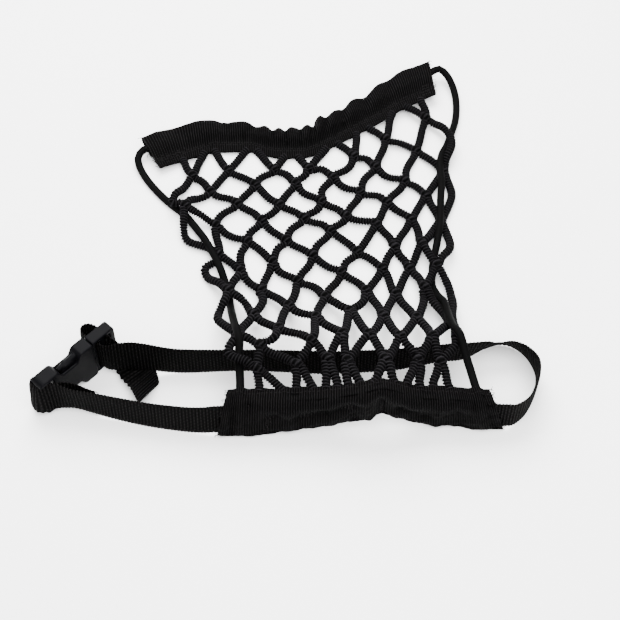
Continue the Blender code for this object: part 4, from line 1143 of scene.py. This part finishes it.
bottomBinding = {
    "creaseAt": 2.4,        # how far up the flange, from the seam, the wavy crease runs
    "creaseDepth": 1.8, "creaseWidth": 1.5, "creasePitch": 27.0,
    "bulge": 1.0, "bulgeBelow": 4.8, "bulgeWidth": 3.2,     # swell of cloth under that crease
    "ripple": 0.2, "ripplePitch": 7.0, "edgePitch": 52.0, "foldShare": 2.3, "foldsTo": 28.0,
    "step": 0.8, "wavePitch": 23.0, "wave": 0.4, "edgeWave": 0.7, "seamWave": 1.7,
    "stitchRows": (-6.2,), "stitch": {"pitch": 2.6, "length": 2.2, "radius": 0.26},
    "fray": {"seed": 6, "count": 34, "length": (0.8, 2.6), "spread": 0.8, "radius": 0.13},
    # folds as in the top binding
    "folds": (
        (-53, -6, -54, 26, 0.8, 3.2), (-48, 0, -49, 26, -0.6, 3.0), (-38.5, 1, -38, 3, -1.5, 2.0),
        (-44, 4, -45, 20, 0.7, 3.5), (-30, 4, -14, 6, 0.9, 3.2), (-16, 9, 10, 4, 1.0, 3.4),
        (8, 5, 28, 2, 0.9, 3.0), (-6, 16, 20, 11, -0.9, 4.5), (-24, 12, -27, 26, -0.6, 4.5),
        (-12, 12, -13, 26, 0.6, 4.0), (14, 14, 13, 26, 0.6, 4.5), (30, 4, 42, 4, 1.1, 3.2),
        (25, 10, 27, 26, -0.7, 3.5), (34, 8, 36, 27, 1.0, 3.6), (43, 8, 44, 27, -1.0, 3.0),
        (46, 5, 62, 9, 1.0, 3.6), (51, 12, 52, 26, 0.6, 3.6), (54, 16, 72, 18, -0.8, 4.5),
        (66, 6, 80, 6, 0.8, 3.4), (78, 12, 77, 26, 0.6, 4.5), (84, 6, 99, 4, 0.9, 3.6),
        (92, 10, 93, 26, -0.6, 4.0), (103.5, 1, 103, 3, -1.3, 2.0), (106, 6, 107, 24, 0.7, 3.5),
        (113, -4, 114, 26, -0.5, 3.2)),
    "cordEnds": ((-45.0, 3.0, 1.9), (108.9, 3.0, 1.9)),     # x at the fold, half width, spread
}


def makeBottomBinding(p):
    sections, runs = [], []
    rows = [[] for _ in p["stitchRows"]]
    run, before = 0.0, None
    for row in resample(footStations, p["step"]):
        _, up, seam, back = footStation(row)
        run += abs(row[0] - before[0]) if before else 0.0
        before = row
        x = row[0]
        channelFace = Vector((0, -up.z, up.y)).normalized()
        flangeFace = Vector((0, -back.z, back.y)).normalized()
        if flangeFace.z < 0:
            flangeFace.negate()
        crest = p["seamWave"] * unevenWave(run, p["creasePitch"], 9)
        swell = sum(size * bell(x - at, width) for at, width, size in p["cordEnds"])

        def relief(d, x=x, run=run, crest=crest, swell=swell):
            folds = p["foldShare"] * foldRelief(p["folds"], x, d) if d < p["foldsTo"] else 0.0
            below = d + p["creaseAt"] + crest
            crease = -p["creaseDepth"] * bell(below, p["creaseWidth"]) * (1 - min(swell, 1.0))
            bulge = p["bulge"] * bell(below - p["bulgeBelow"], p["bulgeWidth"])
            slow = p["wave"] * unevenWave(run + 3 * d, p["wavePitch"], 5)
            ripple = p["ripple"] * unevenWave(run + 2 * d, p["ripplePitch"], 13)
            return folds + crease + bulge + slow + ripple

        def spread(d, x=x, swell=swell):
            return partedLayers(d, x, netCords["footEnds"], sewnStrands) + swell * soft(-(d + 0.5) / 4.0)

        lowered = footRibbon["channel"] - p["edgeWave"] * (1 + unevenWave(run, p["edgePitch"], 17))
        sizes = dict(footRibbon, channel=lowered)
        sections.append(ribbonSection(seam, back, flangeFace, -up, channelFace, sizes, relief, spread))
        runs.append(run)
        for line, d in zip(rows, p["stitchRows"]):
            lift = footRibbon["flangeThickness"] / 2 + 0.02 + relief(d) + spread(d)
            line.append(seam - back * d + flangeFace * lift)
    piece = ribbonShape("bottomBindingRibbon", sections, runs, ribbedRibbon)
    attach(piece, "root")
    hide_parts("bottom_binding")
    print("bottom binding", round(runs[-1]), "mm long")
    sewStitches("bottomBindingStitches", rows, p["stitch"])
    addFray("bottomBindingFray", ribbonEnds(sections), p["fray"], sewingThread)


makeBottomBinding(bottomBinding)


beltWeb = {
    "width": 25.0, "halfThickness": 0.72, "step": 0.5, "ribPitch": 2.1, "ribDepth": 0.34, "scallop": 0.6,
    "inChannel": 2.2, "tailThickness": 1.35, "hemLength": 9.0,
    "acrossSteps": 8, "rim": 0.45, "cup": 0.25, "cupPitch": 47.0, "coarseRise": 1.8,
    "fray": {"seed": 12, "count": 40, "length": (1.0, 3.4), "spread": 0.7, "radius": 0.14},
    "coarseFrom": 46.0, "coarseTo": 11.0, "coarsePitch": 3.1,   # the tail shows the webbing's other face
    # each row: x, y, rise of the lower edge, lean in degrees
    "sewnEnd": ((-130.8, -78.2, 0.2, -1), (-134.5, -77.0, 0.4, -1), (-143.3, -74.8, 1.0, -4),
                (-150.0, -73.9, 2.2, -3), (-157.0, -74.4, 3.3, 0)),
    # the next two tables are along and beside the buckle's axis
    "roundBar": ((-23.2, -0.5, 3.5, 0), (-24.4, 4.0, 3.5, 0), (-28.3, 7.4, 3.6, 2), (-33.0, 6.2, 3.7, 7),
                 (-34.6, 1.4, 3.8, 11), (-32.6, -3.4, 3.8, 11)),
    "inLadder": ((16.4, -4.6, 3.5, 0), (16.2, -1.0, 3.5, 0), (15.9, 3.4, 3.5, 0), (14.9, 7.6, 3.5, 0),
                 (15.6, 11.4, 3.5, 0), (18.8, 13.2, 3.5, 0), (22.2, 11.4, 3.5, 0), (23.9, 7.4, 3.5, 0),
                 (24.0, 3.0, 3.5, 0), (24.0, -1.2, 3.5, 0)),
    "front": ((-156.0, -77.0, 3.6, 7), (-149.6, -76.5, 3.5, 0), (-143.0, -77.0, 3.2, -4),
              (-133.5, -79.5, 2.4, -1), (-123.8, -82.2, 1.2, 2), (-111.0, -85.3, 0.3, 4),
              (-98.6, -88.0, 0.0, 5), (-86.0, -90.2, 0.0, 6), (-73.7, -92.0, 0.2, 7), (-64.5, -92.9, 1.0, 8)),
    "rightLoop": ((124.5, -87.2, 0.6, 0), (130.0, -82.8, 0.0, -2), (133.8, -78.0, 0.0, -3),
                  (137.8, -70.4, 0.0, -2), (141.2, -61.3, 0.0, 0), (142.6, -53.5, 0.0, 3),
                  (141.6, -45.8, 0.0, 10), (138.3, -38.0, 0.0, 18), (132.8, -31.6, 0.0, 25),
                  (125.8, -27.8, 0.0, 30), (117.4, -27.2, 0.0, 33), (109.2, -31.2, 0.0, 27),
                  (102.4, -36.2, 0.0, 14), (94.5, -39.2, 0.0, 8)),
    "back": ((82.8, -40.4, 0.0, 7), (63.5, -44.7, 0.0, 3), (50.7, -47.0, 0.0, 0), (25.3, -48.8, 0.0, -1),
             (6.3, -49.4, 0.0, -2), (-25.3, -47.6, 0.0, 0), (-47.5, -47.2, 0.0, 1), (-76.0, -48.6, 0.0, -3),
             (-88.7, -48.8, 0.9, -5), (-101.4, -49.2, 4.0, -8), (-110.0, -49.8, 6.1, -9),
             (-117.0, -50.4, 6.7, -8), (-123.0, -50.2, 5.9, -5), (-127.6, -48.2, 4.3, -2)),
    # lower edge, then the across direction
    "tail": ((-125.0, -40.2, 3.5, 0.24, -0.13, 0.96), (-124.5, -42.5, 2.4, 0.61, -0.11, 0.78),
             (-123.8, -46.0, 2.0, 0.90, 0.10, 0.42), (-122.2, -49.6, 3.0, 0.92, 0.38, 0.08),
             (-118.5, -56.2, 5.0, 0.76, 0.64, -0.10), (-112.5, -64.0, 7.6, 0.58, 0.77, -0.26),
             (-108.6, -71.0, 9.6, 0.50, 0.80, -0.33), (-105.6, -77.6, 10.8, 0.44, 0.82, -0.37)),
}
buckleCentre = (-145.0, -54.3)
buckleTurn = math.radians(47)


def fromBuckle(row):
    along, beside, rise, lean = row
    c, s = math.cos(buckleTurn), math.sin(buckleTurn)
    return (buckleCentre[0] + along * c - beside * s, buckleCentre[1] + along * s + beside * c, rise, lean)


def beltStations(p):
    rows = list(p["sewnEnd"]) + [fromBuckle(r) for r in p["roundBar"]] + list(p["front"])
    rows += [(r[0], r[2], r[3] + p["inChannel"], r[4]) for r in footStations]
    rows += list(p["rightLoop"]) + list(p["back"]) + [fromBuckle(r) for r in p["inLadder"]]
    stations = []
    fine = resample(rows, 1.0)
    for k, (x, y, rise, lean) in enumerate(fine):
        before, after = fine[max(k - 1, 0)], fine[min(k + 1, len(fine) - 1)]
        way = Vector((after[0] - before[0], after[1] - before[1], 0)).normalized()
        tilt = math.radians(lean)
        across = Vector((0, 0, math.cos(tilt))) + Vector((-way.y, way.x, 0)) * math.sin(tilt)
        clear = abs(math.sin(tilt)) * p["halfThickness"] + 0.1
        stations.append((*Vector((x, y, rise + clear)), *across))
    stations += resample([stations[-1]] + list(p["tail"]), 1.0, 3)[1:]
    return stations


def makeBelt(p):
    middle = [[*(Vector(s[:3]) + Vector(s[3:]) * (p["width"] / 2)), *s] for s in beltStations(p)]
    fine = resample(middle, p["step"], 3, 4)
    points, faces, uv, runs = [], [], [], []
    run = 0.0
    acrossSteps = p["acrossSteps"]
    for k, row in enumerate(fine):
        run += math.dist(row[:3], fine[k - 1][:3]) if k else 0.0
        runs.append(run)
    total = runs[-1]
    for k, row in enumerate(fine):
        before, after = fine[max(k - 2, 0)], fine[min(k + 2, len(fine) - 1)]
        way = Vector(after[:3]) - Vector(before[:3])
        low, across = Vector(row[3:6]), Vector(row[6:]).normalized()
        face = way.cross(across).normalized()
        rib = math.sin(2 * math.pi * runs[k] / p["ribPitch"])
        inTail = soft((runs[k] - total + p["coarseFrom"]) / 4) * soft((total - p["coarseTo"] - runs[k]) / 3)
        coarse = p["coarseRise"] * math.cos(2 * math.pi * (total - runs[k]) / p["coarsePitch"])
        rib = rib * (1 - inTail) + inTail * coarse
        hem = total - runs[k] < p["hemLength"]
        half = p["tailThickness"] if hem else p["halfThickness"]
        half += p["ribDepth"] * 0.5 * rib
        stretch = p["scallop"] * 0.5 * (rib - 1)
        wave = p["cup"] * unevenWave(runs[k], p["cupPitch"], 21)
        ring = []
        for side in (1, -1):
            for i in range(acrossSteps):
                v = i / (acrossSteps - 1) if side > 0 else 1 - i / (acrossSteps - 1)
                rim = p["rim"] if i in (0, acrossSteps - 1) else 1.0
                at = low + across * (-stretch + v * (p["width"] + 2 * stretch))
                cup = wave * (1 - (2 * v - 1) ** 2)
                ring.append(at + face * (side * half * rim + cup))
        points += [tuple(q) for q in ring]
    per = 2 * acrossSteps
    for k in range(len(fine) - 1):
        for i in range(per):
            j = (i + 1) % per
            faces.append((k * per + i, k * per + j, (k + 1) * per + j, (k + 1) * per + i))
            v = [(i if i < acrossSteps else per - 1 - i), (j if j < acrossSteps else per - 1 - j)]
            v = [q / (acrossSteps - 1) * p["width"] / 10 for q in v]
            a, b = runs[k] / 10, runs[k + 1] / 10
            uv.append(((a, v[0]), (a, v[1]), (b, v[1]), (b, v[0])))
    for start in (0, (len(fine) - 1) * per):
        for i in range(acrossSteps - 1):
            faces.append((start + i, start + i + 1, start + per - 2 - i, start + per - 1 - i))
            uv.append(((0, 0), (0, 0.01), (0.01, 0.01), (0.01, 0)))
    piece = addMesh("beltWebbing", points, faces, wovenWebbing, uv)
    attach(piece, "root")
    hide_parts("belt")
    print("belt", round(total), "mm long")
    low, across = Vector(fine[0][3:6]), Vector(fine[0][6:]).normalized()
    outward = (Vector(fine[0][:3]) - Vector(fine[4][:3])).normalized()
    edge = [low + across * (p["width"] * k / 20) for k in range(21)]
    addFray("beltFray", [(edge, outward)], p["fray"], sewingThread)


makeBelt(beltWeb)


buckleMould = {
    "grain": 0.00034, "rounding": 30,
    # prong rod: along, height and radius at its thin and its thick end; the lower one mirrors it
    "rod": ((-13.8, 27.6, 1.5), (2.5, 28.4, 2.3)), "width": 32.0,
}


def addRod(shape, ends, sides=16):
    # Closed round rod between two places on the buckle's middle plane
    rings = []
    for along, height, radius in ends:
        ring = []
        for k in range(sides):
            turn = 2 * math.pi * k / sides
            x, y, _, _ = fromBuckle((along, radius * math.cos(turn), 0, 0))
            ring.append(shape.verts.new(layoutPoint(x, y, height + radius * math.sin(turn))))
        rings.append(ring)
    for k in range(sides):
        j = (k + 1) % sides
        shape.faces.new((rings[0][k], rings[0][j], rings[1][j], rings[1][k]))
    shape.faces.new(list(reversed(rings[0])))
    shape.faces.new(rings[1])


def makeBuckle(name, node, p, rods=()):
    # Copy of a moulded half with its edges rounded over
    source = [o for o in bpy.data.objects if o.name == node][0]
    mesh = source.data.copy()
    shape = bmesh.new()
    shape.from_mesh(mesh)
    bmesh.ops.remove_doubles(shape, verts=shape.verts, dist=0.00002)
    for ends in rods:
        addRod(shape, ends)
    bmesh.ops.recalc_face_normals(shape, faces=shape.faces)
    shape.to_mesh(mesh)
    shape.free()
    piece = addObject(name, mesh)
    even = piece.modifiers.new("even", "REMESH")
    even.mode = "VOXEL"
    even.voxel_size = p["grain"]
    rounding = piece.modifiers.new("rounding", "SMOOTH")
    rounding.factor = 0.5
    rounding.iterations = p["rounding"]
    graph = bpy.context.evaluated_depsgraph_get()
    rounded = bpy.data.meshes.new_from_object(piece.evaluated_get(graph))
    piece.modifiers.remove(rounding)
    piece.modifiers.remove(even)
    rounded.materials.clear()
    rounded.materials.append(mouldedPlastic)
    rounded.shade_smooth()
    piece.data = rounded
    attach(piece, "root")
    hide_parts(node)
    print(name, len(rounded.polygons), "faces")


makeBuckle("buckleSocketShell", "buckle_socket", buckleMould)
lowerRod = tuple((along, buckleMould["width"] - height, radius) for along, height, radius in buckleMould["rod"])
makeBuckle("bucklePlugShell", "buckle_plug", buckleMould, (buckleMould["rod"], lowerRod))


studio = {
    "floor": (0.94, 0.94, 0.94), "reach": 3.0, "world": 1.5, "lookAt": (0.0, 40.0, 0.0),
    # two square lamps: watts, side in metres, place in layout millimetres
    "key": 52.0, "keySize": 0.9, "keyAt": (-160.0, 640.0, 900.0),
    "fill": 34.0, "fillSize": 1.0, "fillAt": (140.0, -420.0, 1000.0),
}


def makeStudio(p):
    mesh = bpy.data.meshes.new("paleFloor")
    r = p["reach"]
    mesh.from_pydata([(-r, -r, 0), (r, -r, 0), (r, r, 0), (-r, r, 0)], [], [(0, 1, 2, 3)])
    floor = addObject("paleFloor", mesh)
    material, _, shader = newMaterial("paleFloor", 0.9, 0.1)
    shader.inputs["Base Color"].default_value = (*p["floor"], 1.0)
    mesh.materials.append(material)
    world = bpy.data.worlds.new("studio")
    bpy.context.scene.world = world
    world.use_nodes = True
    world.node_tree.nodes["Background"].inputs[0].default_value = (1.0, 1.0, 1.0, 1.0)
    world.node_tree.nodes["Background"].inputs[1].default_value = p["world"]
    for name in ("key", "fill"):
        data = bpy.data.lights.new(name, "AREA")
        data.energy = p[name]
        data.size = p[name + "Size"]
        lamp = bpy.data.objects.new(name, data)
        bpy.context.scene.collection.objects.link(lamp)
        lamp.location = layoutPoint(*p[name + "At"])
        lamp.rotation_euler = (layoutPoint(*p["lookAt"]) - lamp.location).to_track_quat("-Z", "Y").to_euler()


makeStudio(studio)

print("pieces ready")
